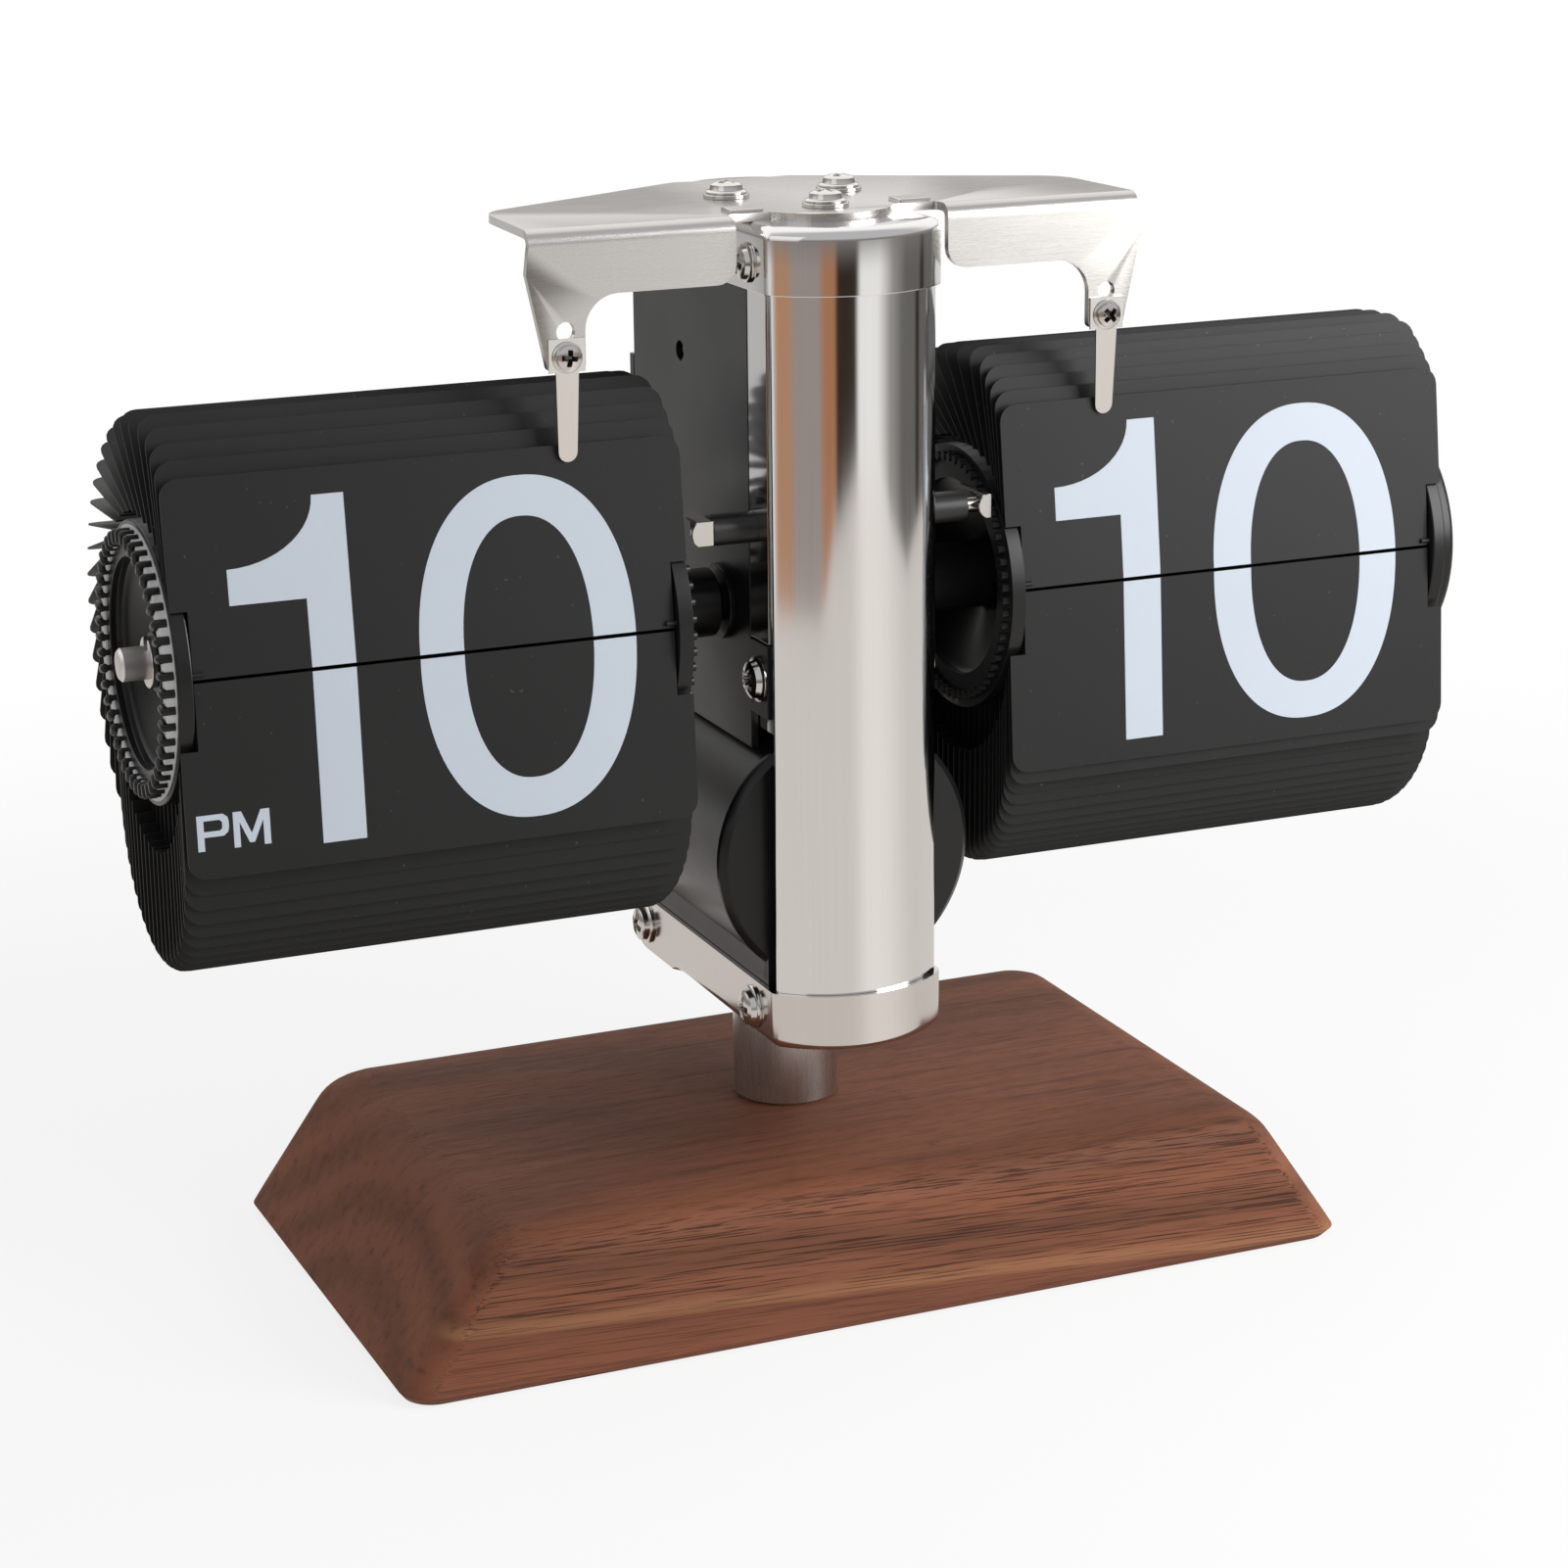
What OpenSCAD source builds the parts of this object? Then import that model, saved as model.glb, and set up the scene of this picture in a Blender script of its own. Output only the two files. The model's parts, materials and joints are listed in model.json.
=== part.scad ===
// Table flip clock: two drums of split number cards either side of a slim steel pillar, on a wooden base.
// Millimetres. X runs to the viewer's right, Y to the back and Z up.
// The origin is the middle of the base's underside, on the axis of the stem.

/* [Base] */
// Width of the wooden base
base_w = 153.6; // [130:0.2:180]
// Depth of the wooden base
base_d = 85.2; // [75:0.2:100]
// Height of the wooden base
base_h = 22.3; // [18:0.1:32]
// How far each end leans in from bottom to top
end_lean = 14; // [4:0.5:20]
// Rounding along the top edge of each end
end_round = 9; // [3:0.5:12]
// How far the front and the back lean in
face_lean = 2; // [0.5:0.1:5]
// Rounding along the top edge of front and back
face_round = 6; // [2:0.5:9]
// Corner radius of the base seen from above
base_corner = 6.5; // [4:0.5:10]

/* [Stand] */
// Diameter of the stem
stem_d = 16.5; // [14:0.5:20]
// Height of the stem between base and strap
stem_h = 17.8; // [16:0.1:30]
// Height of the steel strap at the foot of the pillar
strap_h = 8.7; // [8:0.1:12]
// Width of the curved pillar
pillar_w = 25.8; // [25:0.1:29]
// How far the pillar's middle stands in front of its edges
pillar_bulge = 5.7; // [4:0.1:8]
// Distance of the pillar's edges in front of the stem axis
pillar_fwd = 27.2; // [27:0.1:32]
// Height of the pillar between strap and cap
pillar_h = 103.7; // [102:0.1:130]
// Height of the cap on the pillar
cap_h = 9.5; // [9:0.1:14]
// Sheet thickness of the strap and the cap
sheet_t = 0.7; // [0.5:0.05:1]
// Sheet thickness of the pillar
pillar_t = 0.8; // [0.5:0.05:1.2]

/* [Top bracket] */
// Width over both arms of the bracket
bracket_w = 94.8; // [88:0.2:110]
// Thickness of the bracket
bracket_t = 1.2; // [0.8:0.1:1.6]
// Distance of the spring fingers from the middle
finger_x = 42.3; // [38:0.1:46]
// Height of the folded front edge
flange_h = 9.3; // [8:0.1:11]
// Length of the legs below the top plate
leg_h = 19.6; // [18:0.1:21]

/* [Displays] */
// Width of a number card
card_w = 75.2; // [65:0.2:85]
// Length of a card from its pin to its free edge
card_len = 26.7; // [25:0.1:27]
// Thickness of a card
card_t = 0.25; // [0.15:0.01:0.28]
// Distance between the two displays
display_gap = 50.8; // [50:0.2:60]
// Radius of the circle of card pins
pin_circle = 18.4; // [18.2:0.1:18.6]
// Number of hour cards
hour_cards = 48; // [48]
// Number of minute cards
minute_cards = 60; // [60]
// Height of the drum axis above the underside of the strap
axis_rise = 64.2; // [63.8:0.1:66]
// Distance of the drum axis in front of the stem axis
axis_fwd = 7.5; // [7:0.1:8]
// How far the front upper card leans back, in degrees
upper_lean = 7.5; // [6:0.5:9]
// How far the front lower card leans forward, in degrees
lower_lean = 4; // [3:0.5:6]

/* [Movement] */
// Width over the two side plates
chassis_w = 25.8; // [25.4:0.1:25.8]
// Thickness of a side plate
plate_t = 1.2; // [0.8:0.1:1.2]
// Distance between the drum axis and the lay shaft
gear_c = 19; // [18:0.1:19.2]
// Diameter of the main axle
axle_d = 4.8; // [4:0.1:4.8]
// Diameter of the setting wheel
wheel_d = 18; // [16:0.2:19]

/* [Battery] */
// Diameter of the cell
cell_d = 34.2; // [33.4:0.1:34.2]
// Length of the cell with its nub
cell_l = 61.5; // [58:0.1:61.5]
// Wall of the battery tube
tube_wall = 2.4; // [1.6:0.1:2.4]

/* [Hidden] */
$fn = 96;
hair = 0.1;
run_fit = 0.05;
air = 0.3;
eps = 0.01;

// Levels
strap_z = base_h + stem_h;
floor_t = 1.2;
axis_z = strap_z + axis_rise;
axis_y = -axis_fwd;
cap_z = strap_z + strap_h + pillar_h;
cap_top = cap_z + cap_h;
top_z = cap_top + bracket_t;
plates_top = cap_top - 2.6;

// Pillar, strap and cap share one arc centre
pillar_hw = pillar_w / 2;
pillar_r = (pillar_hw * pillar_hw + pillar_bulge * pillar_bulge) / (2 * pillar_bulge);
arc_y = -pillar_fwd + sqrt(pillar_r * pillar_r - pillar_hw * pillar_hw);
wrap_in = hair;
wrap_out = hair + sheet_t;
strap_back = 29;
cap_back = -10;
strap_screw_y = [-20, strap_back - strap_h / 2 - 0.6];
strap_screw_z = strap_z + strap_h / 2;
cap_screw_y = -20.9;
cap_screw_z = cap_z + 3.9;

// Chassis
chassis_hw = chassis_w / 2;
inner_hw = chassis_hw - plate_t;
chassis_front = -18.5;
chassis_back = 26.8;
pillar_screw_y = -21.5;
pillar_screw_z = axis_z - 8.8;
bracket_hw = inner_hw - hair;
bracket_side_t = 1;
channel_y = -25.4;
channel_t = 1;
channel_top = cap_z;
flank_z = pillar_screw_z + 6;

// Battery
bore_r = cell_d / 2 + 0.5;
tube_r = bore_r + tube_wall;
tube_z = strap_z + 27.7;
tube_front = -24;
tube_skin = 1.2;
tube_back = 38;
lip_r = bore_r + 1.2;
contact_l = 1.2;
cell_y = tube_front + tube_skin + contact_l;
nub_l = 2;
saddle_top = axis_z - 17.3;
pedestal_z = strap_z + floor_t + hair;
plate_foot = tube_z + sqrt(tube_r * tube_r - inner_hw * inner_hw) + 0.3;

// Displays
card_cx = display_gap / 2 + card_w / 2;
card_in = display_gap / 2;
card_out = card_in + card_w;
disc_t = 2.2;
disc_r = pin_circle + 1.8;
neck_hw = card_w / 2 - disc_t - air;
notch_h = 8.7;
over_pin = 0.7;
card_round = 2.6;
card_pin_r = 0.35;
card_pin_l = 1.5;
card_free = 0.06;
corner_steps = 5;
front_r = pin_circle + 0.55;
front_up = 2.3;
front_back = 0.27;
low_r = pin_circle + 0.45;
low_up = 0.4;
front_phi = asin(front_up / front_r);
pin_r = 0.65;
pin_out = 1.6;
bar_in = 1.7;
ring_t = 0.6;
ring_in = 15;
ring_out = pin_circle + 1.2;

// Axle and hubs
axle_r = axle_d / 2;
axle_end = card_out + 3.4;
hub_bore = axle_r + run_fit;
sleeve_r = hub_bore + 0.55;
bush_bore = sleeve_r + 0.07;
bush_r = bush_bore + 1.6;
hub_r = sleeve_r + 2.15;
hub_step = chassis_hw + 1.9;
sleeve_end = 7;

// Gears, as teeth and pitch radii; tips stop just short of the pitch circle
gear_hw = [8, 10];
small_hw = [8.2, 10.2];
tip_cut = 0.15;
tooth_h = 1;
minute_t = 12;
lay_t = 48;
lay_pin_t = 8;
hour_t = 48;
motor_t = 8;
setting_t = 12;
minute_r = gear_c * minute_t / (minute_t + lay_t);
lay_r = gear_c - minute_r;
lay_pin_r = gear_c * lay_pin_t / (lay_pin_t + hour_t);
hour_r = gear_c - lay_pin_r;
motor_r = lay_r * motor_t / lay_t;
setting_r = lay_r * setting_t / lay_t;
lay_y = axis_y + gear_c;
motor_a = 115;
motor_y = lay_y + (lay_r + motor_r) * cos(motor_a);
motor_z = axis_z + (lay_r + motor_r) * sin(motor_a);
setting_a = 54.6;
setting_y = lay_y + (lay_r + setting_r) * cos(setting_a);
setting_z = axis_z + (lay_r + setting_r) * sin(setting_a);
lay_shaft_r = 1.5;
set_shaft_r = 1.2;
motor_shaft_r = 0.9;
wheel_r = wheel_d / 2;
wheel_hw = 3;
cover_gap = 0.2;
cover_y = chassis_back + cover_gap;
cover_t = 1.6;
cover_z = [saddle_top + 1, axis_z + 31.7];

// Stop rod in front of the side plates
rod_y = -19.9;
rod_z = axis_z + 13.7;
rod_r = 2.3;
rod_pin_r = 1.15;
rod_ends = [display_gap / 2 - 5.5, display_gap / 2 - 4.6];
clip_ends = [display_gap / 2 - 2, display_gap / 2 - 1.2];
clip_front = rod_y - rod_r - 0.5;
clip_mid = rod_z + 0.15;
clip_hh = 1.75;
clip_t = 0.4;

// Bracket, and the springs on its legs
wing_in = pillar_hw + wrap_out + 2.8;
wing_back = [26, 9];
tail_side = [9.5, 18];
tail_r = 11;
tail_y = 8.5;
wing_r = 7;
tab_y = -20;
nose_r = 10.6;
flange_y = -23.8;
flange_bottom = top_z - flange_h;
leg_bottom = top_z - leg_h;
spring_t = 0.3;
spring_w = 5.4;
finger_lap = 2.4;
finger_gap = 0.1;
card_top = axis_z + front_up + card_len * cos(upper_lean) - front_back * sin(upper_lean);
tip_up = (card_len - finger_lap) * sin(upper_lean);
card_face = axis_y - front_r + front_back - card_t / 2 + tip_up;
tip_z = card_top - finger_lap;
tongue_l = leg_bottom - tip_z;
tongue_tilt = asin((card_face - finger_gap - flange_y) / tongue_l);
spring_screw_z = leg_bottom + 1.9;
leg_hole_z = leg_bottom + 5.4;

// Screws on the top plate
top_screws_xy = [[-9, -2], [9, -2], [0, -17.5]];
washer_t = 0.6;
washer_r = 3.4;

// Helpers

// Points of an arc, both ends included
function arc(cx, cy, r, a0, a1, n) =
  [for (i = [0:n]) let (a = a0 + (a1 - a0) * i / n) [cx + r * cos(a), cy + r * sin(a)]];

// Box from its low corner to its high corner
module span(lo, hi) {
  translate(lo) cube(hi - lo);
}

// Cylinder along X from x0 to x1 about the line (y, z)
module rod_x(x0, x1, y, z, r) {
  translate([min(x0, x1), y, z]) rotate([0, 90, 0]) cylinder(r = r, h = abs(x1 - x0));
}

// Cylinder along Y from y0 to y1 about the line (x, z)
module rod_y_axis(x, y0, y1, z, r0, r1) {
  translate([x, y0, z]) rotate([-90, 0, 0]) cylinder(r1 = r0, r2 = r1, h = y1 - y0);
}

// Mirrored pair in X
module both() {
  children();
  mirror([1, 0, 0]) children();
}

// Plan of the pillar's wrap: a bowed front on straight sides that run back to y_back
module wrap_plan(grow, y_back) {
  hw = pillar_hw + grow;
  r = pillar_r + grow;
  edge_y = arc_y - sqrt(r * r - hw * hw);
  intersection() {
    translate([0, arc_y]) circle(r = r);
    translate([-hw, arc_y - r - 1]) square([2 * hw, edge_y - arc_y + r + 1]);
  }
  translate([-hw, edge_y - eps]) square([2 * hw, y_back - edge_y + eps]);
}

// Pan-head screw along Z: head above zero, shank below
module pan_screw(head_r, head_h, shank_r, shank_l) {
  rise = 0.7 * head_h;
  dome = (head_r * head_r + rise * rise) / (2 * rise);
  difference() {
    union() {
      intersection() {
        cylinder(r = head_r, h = head_h);
        translate([0, 0, head_h - dome]) sphere(r = dome);
      }
      translate([0, 0, -shank_l]) cylinder(r = shank_r, h = shank_l + eps);
    }
    for (a = [0, 90]) rotate([0, 0, a]) translate([-0.58 * head_r, -0.13 * head_r, 0.5 * head_h])
      cube([1.16 * head_r, 0.26 * head_r, head_h]);
  }
}

// Spur gear about Z, from z = 0 to t
module gear(teeth, pitch_r, t, bore) {
  tip = pitch_r - tip_cut;
  root = max(tip - min(tooth_h, 0.22 * pitch_r), bore + 0.15);
  step = 360 / teeth;
  tooth = [[-0.30, root], [-0.14, tip], [0.14, tip], [0.30, root]];
  difference() {
    linear_extrude(t) polygon([for (i = [0:teeth - 1], p = tooth)
      [p[1] * cos((i + p[0]) * step), p[1] * sin((i + p[0]) * step)]]);
    translate([0, 0, -1]) cylinder(r = bore, h = t + 2);
  }
}

// Gear about an axis along X, between two x values
module gear_x(x, y, z, teeth, pitch_r, bore) {
  translate([x[0], y, z]) rotate([0, 90, 0]) gear(teeth, pitch_r, x[1] - x[0], bore);
}

// Base and stem

function lean_in(z, lean, r) =
  let (a = atan(lean / base_h), cz = base_h - r, cx = lean + r * tan((90 - a) / 2), zt = cz + r * sin(a))
  z <= zt ? z * tan(a) : cx - sqrt(max(0, r * r - (z - cz) * (z - cz)));

bolt_seat = 9;
bolt_r = 3;
washer_b = 1.2;

module wood_base() {
  color([0.42, 0.27, 0.17]) difference() {
    hull() for (k = [0, 0.06, 0.4, 0.6, 0.72, 0.82, 0.9, 0.96, 1], sx = [-1, 1], sy = [-1, 1]) {
      z = k * base_h;
      foot = k == 0 ? 0.9 : 0;
      rise = max(0, z - 0.06 * base_h) / 0.94;
      hx = base_w / 2 - lean_in(rise, end_lean, end_round) - foot;
      hy = base_d / 2 - lean_in(rise, face_lean, face_round) - foot;
      translate([sx * (hx - base_corner), sy * (hy - base_corner), k == 0 ? 0 : z - hair])
        cylinder(r = base_corner, h = hair, $fn = 24);
    }
    translate([0, 0, -1]) cylinder(r = bolt_r + air, h = base_h + 2);
    translate([0, 0, -1]) cylinder(r = 9, h = bolt_seat + 1);
  }
}

module base_washer() {
  color([0.7, 0.7, 0.7]) difference() {
    translate([0, 0, bolt_seat - washer_b]) cylinder(r = 8, h = washer_b);
    cylinder(r = bolt_r + air, h = bolt_seat + 1);
  }
}

stem_tap = 8.5;

module base_bolt() {
  color([0.6, 0.6, 0.6]) union() {
    translate([0, 0, bolt_seat - washer_b - 4]) cylinder(r = 5, h = 4, $fn = 6);
    translate([0, 0, bolt_seat - washer_b - eps])
      cylinder(r = bolt_r, h = base_h + stem_tap - 0.5 - bolt_seat + washer_b);
  }
}

strap_bolt_r = 2;

module stem() {
  color([0.75, 0.75, 0.74]) difference() {
    translate([0, 0, base_h]) cylinder(d = stem_d, h = stem_h);
    translate([0, 0, base_h - 1]) cylinder(r = bolt_r + run_fit, h = stem_tap + 1);
    translate([0, 0, strap_z - 6.5]) cylinder(r = strap_bolt_r + run_fit, h = 8);
  }
}

// Pillar with its strap and cap

module bottom_strap() {
  end_r = strap_h / 2;
  color([0.8, 0.8, 0.8]) difference() {
    union() {
      intersection() {
        translate([0, 0, strap_z]) linear_extrude(strap_h) difference() {
          wrap_plan(wrap_out, strap_back + 1);
          wrap_plan(wrap_in, strap_back + 2);
        }
        union() {
          span([-50, -60, strap_z], [50, strap_back - end_r, strap_z + strap_h]);
          rod_x(-50, 50, strap_back - end_r, strap_z + end_r, end_r);
        }
      }
      translate([0, 0, strap_z]) linear_extrude(floor_t) wrap_plan(wrap_out - sheet_t / 2, 12);
    }
    translate([0, 0, strap_z - 1]) cylinder(r = strap_bolt_r + hair, h = 4);
    for (y = strap_screw_y) rod_x(-50, 50, y, strap_screw_z, 1.3);
  }
}

module strap_bolt() {
  color([0.6, 0.6, 0.6]) translate([0, 0, strap_z + floor_t]) union() {
    cylinder(r = 4, h = 2.6, $fn = 6);
    translate([0, 0, -floor_t - 6]) cylinder(r = strap_bolt_r, h = floor_t + 6 + eps);
  }
}

screw_head_r = 2.7;
screw_head_h = 1.7;

module strap_screws() {
  color([0.85, 0.85, 0.85]) both() for (y = strap_screw_y)
    translate([pillar_hw + wrap_out, y, strap_screw_z]) rotate([0, 90, 0])
      pan_screw(screw_head_r, screw_head_h, 1.25, 6);
}

module pillar() {
  color([0.86, 0.86, 0.87]) translate([0, 0, strap_z + floor_t + hair])
    linear_extrude(cap_top - sheet_t - 2 * hair - strap_z - floor_t) intersection() {
      difference() {
        translate([0, arc_y]) circle(r = pillar_r);
        translate([0, arc_y]) circle(r = pillar_r - pillar_t);
      }
      translate([-pillar_hw, arc_y - pillar_r - 1])
        square([2 * pillar_hw, pillar_r + 1 - pillar_fwd - arc_y]);
    }
}

module top_cap() {
  color([0.84, 0.84, 0.85]) difference() {
    union() {
      translate([0, 0, cap_z]) linear_extrude(cap_h) difference() {
        wrap_plan(wrap_out, cap_back);
        wrap_plan(wrap_in, cap_back + 1);
      }
      translate([0, 0, cap_top - sheet_t]) linear_extrude(sheet_t)
        wrap_plan(wrap_out - sheet_t / 2, cap_back);
    }
    rod_x(-50, 50, cap_screw_y, cap_screw_z, 1.3);
    translate([0, top_screws_xy[2][1], cap_top - 3]) cylinder(r = 1.7, h = 6);
  }
}

module cap_screws() {
  color([0.85, 0.85, 0.85]) both() translate([pillar_hw + wrap_out, cap_screw_y, cap_screw_z])
    rotate([0, 90, 0]) pan_screw(2.4, screw_head_h, 1.2, 4);
}

// Bracket across the top, with a spring finger on each leg

module bracket_flange() {
  x0 = wing_in;
  x1 = bracket_w / 2;
  leg_x0 = finger_x - 2.9;
  leg_x1 = finger_x + 2.9;
  fillet = 5;
  pts = concat([[x0, top_z], [x1, top_z], [x1 + 0.5, top_z - 6], [leg_x1, leg_bottom], [leg_x0, leg_bottom]],
    arc(leg_x0 - fillet, flange_bottom - fillet, fillet, 0, 90, 6), [[x0, flange_bottom]]);
  translate([0, flange_y + bracket_t, 0]) rotate([90, 0, 0]) linear_extrude(bracket_t) polygon(pts);
}

module top_bracket() {
  hw = bracket_w / 2;
  wing_x = hw - 0.8 - wing_r;
  half = concat([[wing_in, flange_y], [hw, flange_y], [hw - 0.8, -8]], arc(wing_x, -6, wing_r, 0, 60, 4),
    [wing_back, tail_side], arc(0, tail_y, tail_r, 55, 90, 3));
  color([0.78, 0.77, 0.74]) difference() {
    union() {
      translate([0, 0, cap_top]) linear_extrude(bracket_t) {
        polygon(concat([[0, tab_y]], [[wing_in, tab_y]], half));
        mirror([1, 0]) polygon(concat([[0, tab_y]], [[wing_in, tab_y]], half));
        translate([0, arc_y]) circle(r = nose_r);
        translate([-0.5, tab_y]) square([1, 20]);
      }
      both() bracket_flange();
      both() span([nose_r, tab_y, top_z - eps], [nose_r + 5, tab_y + 4.2, top_z + 0.6]);
    }
    for (p = top_screws_xy) translate([p[0], p[1], cap_top - 1]) cylinder(r = 1.7, h = 4);
    both() translate([finger_x, flange_y - 1, leg_hole_z]) rotate([-90, 0, 0]) cylinder(r = 1.4, h = 5);
    both() translate([finger_x, flange_y - 1, spring_screw_z]) rotate([-90, 0, 0]) cylinder(r = 1.1, h = 5);
  }
}

module top_washers() {
  color([0.8, 0.8, 0.8]) for (p = top_screws_xy) translate([p[0], p[1], top_z]) difference() {
    cylinder(r = washer_r, h = washer_t);
    translate([0, 0, -1]) cylinder(r = 1.7, h = 3);
  }
}

module top_screws() {
  color([0.85, 0.85, 0.85]) for (p = top_screws_xy) translate([p[0], p[1], top_z + washer_t])
    pan_screw(screw_head_r, screw_head_h, 1.5, 5.2);
}

module spring(side) {
  plate_top = leg_hole_z - 0.9;
  root_hw = 1.7;
  tip_r = 1.4;
  tongue = concat([[-root_hw, 0]], arc(0, tip_r - tongue_l, tip_r, 180, 360, 8), [[root_hw, 0]]);
  color([0.82, 0.82, 0.8]) difference() {
    union() {
      translate([side * finger_x, flange_y, 0]) rotate([90, 0, 0]) linear_extrude(spring_t)
        translate([-spring_w / 2, leg_bottom - 0.2]) square([spring_w, plate_top - leg_bottom + 0.2]);
      translate([side * finger_x, flange_y, leg_bottom]) rotate([tongue_tilt, 0, 0]) rotate([90, 0, 0])
        linear_extrude(spring_t) polygon(tongue);
    }
    translate([side * finger_x, flange_y - 2, spring_screw_z]) rotate([-90, 0, 0]) cylinder(r = 1.1, h = 3);
  }
}

module left_spring() {
  spring(-1);
}

module right_spring() {
  spring(1);
}

module spring_screws() {
  color([0.85, 0.85, 0.85]) both() translate([finger_x, flange_y - spring_t, spring_screw_z])
    rotate([90, 0, 0]) pan_screw(2, 1.1, 1, 2.2);
}

// Chassis

module side_plate(side) {
  x0 = side > 0 ? inner_hw : -chassis_hw;
  color([0.07, 0.07, 0.08]) difference() {
    union() {
      span([x0, chassis_front, plate_foot], [x0 + plate_t, chassis_back, plates_top]);
      span([x0, channel_y + 0.6, pillar_screw_z - 5.5],
        [x0 + plate_t, chassis_front + eps, pillar_screw_z + 5.5]);
    }
    rod_x(x0 - 1, x0 + plate_t + 1, axis_y, axis_z, bush_r);
    rod_x(x0 - 1, x0 + plate_t + 1, lay_y, axis_z, lay_shaft_r + run_fit);
    rod_x(x0 - 1, x0 + plate_t + 1, setting_y, setting_z, set_shaft_r + run_fit);
    rod_x(x0 - 1, x0 + plate_t + 1, 7.6, axis_z + 35.2, 1.5);
    rod_x(x0 - 1, x0 + plate_t + 1, pillar_screw_y, pillar_screw_z, 1.3);
    rod_x(x0 - 1, x0 + plate_t + 1, rod_y, rod_z, rod_r + run_fit);
  }
}

module left_side_plate() {
  side_plate(-1);
}

module right_side_plate() {
  side_plate(1);
}

module chassis_top() {
  front_top = cap_top - sheet_t - 0.2;
  color([0.08, 0.08, 0.08]) difference() {
    union() {
      span([-chassis_hw, -24, plates_top], [chassis_hw, cap_back + 0.6, front_top]);
      span([-chassis_hw, cap_back + 0.5, plates_top], [chassis_hw, 14, cap_top]);
      both() span([chassis_hw - 4, -24, cap_z + 0.6], [chassis_hw, chassis_front - 0.4, plates_top + eps]);
    }
    for (p = top_screws_xy) translate([p[0], p[1], plates_top - 1]) cylinder(r = 1.55, h = 5);
    both() rod_x(chassis_hw - 5, chassis_hw + 1, cap_screw_y, cap_screw_z, 1.25);
  }
}

bar_low = [cover_z[0] + 0.2, cover_z[0] + 2.6];
bar_high = [cover_z[1] - 3, cover_z[1]];
bar_front = 21;
cover_screw_x = 7.5;
cover_screw_r = 1;

// Hole along Y for a rear cover screw, half way up a cross bar
module cover_hole(y0, y1, bar, r) {
  rod_y_axis(cover_screw_x, y0, y1, (bar[0] + bar[1]) / 2, r, r);
}

module chassis_spacers() {
  color([0.09, 0.09, 0.09]) difference() {
    for (z = [bar_low, bar_high]) span([-inner_hw, bar_front, z[0]], [inner_hw, chassis_back, z[1]]);
    both() for (z = [bar_low, bar_high])
      cover_hole(chassis_back - 5, chassis_back + 1, z, cover_screw_r + hair);
  }
  color([0.3, 0.3, 0.3]) rod_x(-inner_hw, inner_hw, 18, plates_top - 4, 2);
}

module rear_cover() {
  slot_h = sqrt(wheel_r * wheel_r - (cover_y - setting_y) * (cover_y - setting_y)) + 1.6;
  color([0.07, 0.07, 0.07]) difference() {
    span([-chassis_hw, cover_y, cover_z[0]], [chassis_hw, cover_y + cover_t, cover_z[1]]);
    span([-wheel_hw - 1.2, cover_y - 1, setting_z - slot_h],
      [wheel_hw + 1.2, cover_y + cover_t + 1, setting_z + slot_h]);
    both() for (z = [bar_low, bar_high])
      cover_hole(cover_y - 1, cover_y + cover_t + 1, z, cover_screw_r + 0.2);
  }
}

module rear_cover_screws() {
  color([0.5, 0.5, 0.5]) both() for (z = [bar_low, bar_high])
    translate([cover_screw_x, cover_y + cover_t, (z[0] + z[1]) / 2]) rotate([-90, 0, 0])
      pan_screw(1.9, 1.1, cover_screw_r, cover_t + 4);
}

module front_bracket() {
  side_x = bracket_hw - bracket_side_t;
  foot_z = saddle_top + 0.4;
  color([0.84, 0.84, 0.85]) difference() {
    union() {
      span([-bracket_hw, channel_y, foot_z], [bracket_hw, channel_y + channel_t, channel_top]);
      both() span([side_x, channel_y, foot_z], [bracket_hw, -14, channel_top]);
      both() span([side_x, channel_y, flank_z], [chassis_hw, chassis_front - air, channel_top]);
    }
    rod_x(-20, 20, rod_y, rod_z, rod_r + run_fit);
    rod_x(-20, 20, pillar_screw_y, pillar_screw_z, 1.25);
  }
}

module axle_clamp() {
  rear = axis_y + axle_r + 1.6;
  color([0.1, 0.1, 0.1]) difference() {
    union() {
      both() span([3.2, channel_y + channel_t, axis_z - 5], [6.2, rear, axis_z + 5]);
      span([-4, channel_y + channel_t, axis_z - 5], [4, channel_y + channel_t + 4, axis_z + 5]);
    }
    rod_x(-20, 20, axis_y, axis_z, axle_r);
  }
}

module pillar_screws() {
  color([0.85, 0.85, 0.85]) both() translate([chassis_hw, pillar_screw_y, pillar_screw_z]) rotate([0, 90, 0])
    pan_screw(screw_head_r, screw_head_h, 1.2, plate_t + hair + bracket_side_t);
}

// Battery

module battery_housing() {
  bevel = 1;
  color([0.06, 0.06, 0.07]) difference() {
    union() {
      rod_y_axis(0, tube_front + bevel, tube_back, tube_z, tube_r, tube_r);
      rod_y_axis(0, tube_front, tube_front + bevel, tube_z, tube_r - bevel + 0.2, tube_r + 0.2);
      rod_y_axis(0, tube_front + bevel, tube_front + 2 * bevel, tube_z, tube_r + 0.2, tube_r + 0.2);
      span([-bracket_hw, -13.4, tube_z], [bracket_hw, chassis_back - 6, saddle_top]);
      span([-pillar_hw, tube_front, pedestal_z], [pillar_hw, 27, tube_z - 12]);
    }
    rod_y_axis(0, tube_front + tube_skin, tube_back + 1, tube_z, bore_r, bore_r);
    rod_y_axis(0, tube_back - 5, tube_back + 1, tube_z, lip_r, lip_r);
    translate([0, 0, pedestal_z - 1]) cylinder(r = 5.5, h = 4.4);
    both() for (y = strap_screw_y) rod_x(pillar_hw - 6.5, pillar_hw + 1, y, strap_screw_z, 1.3);
  }
}

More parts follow.
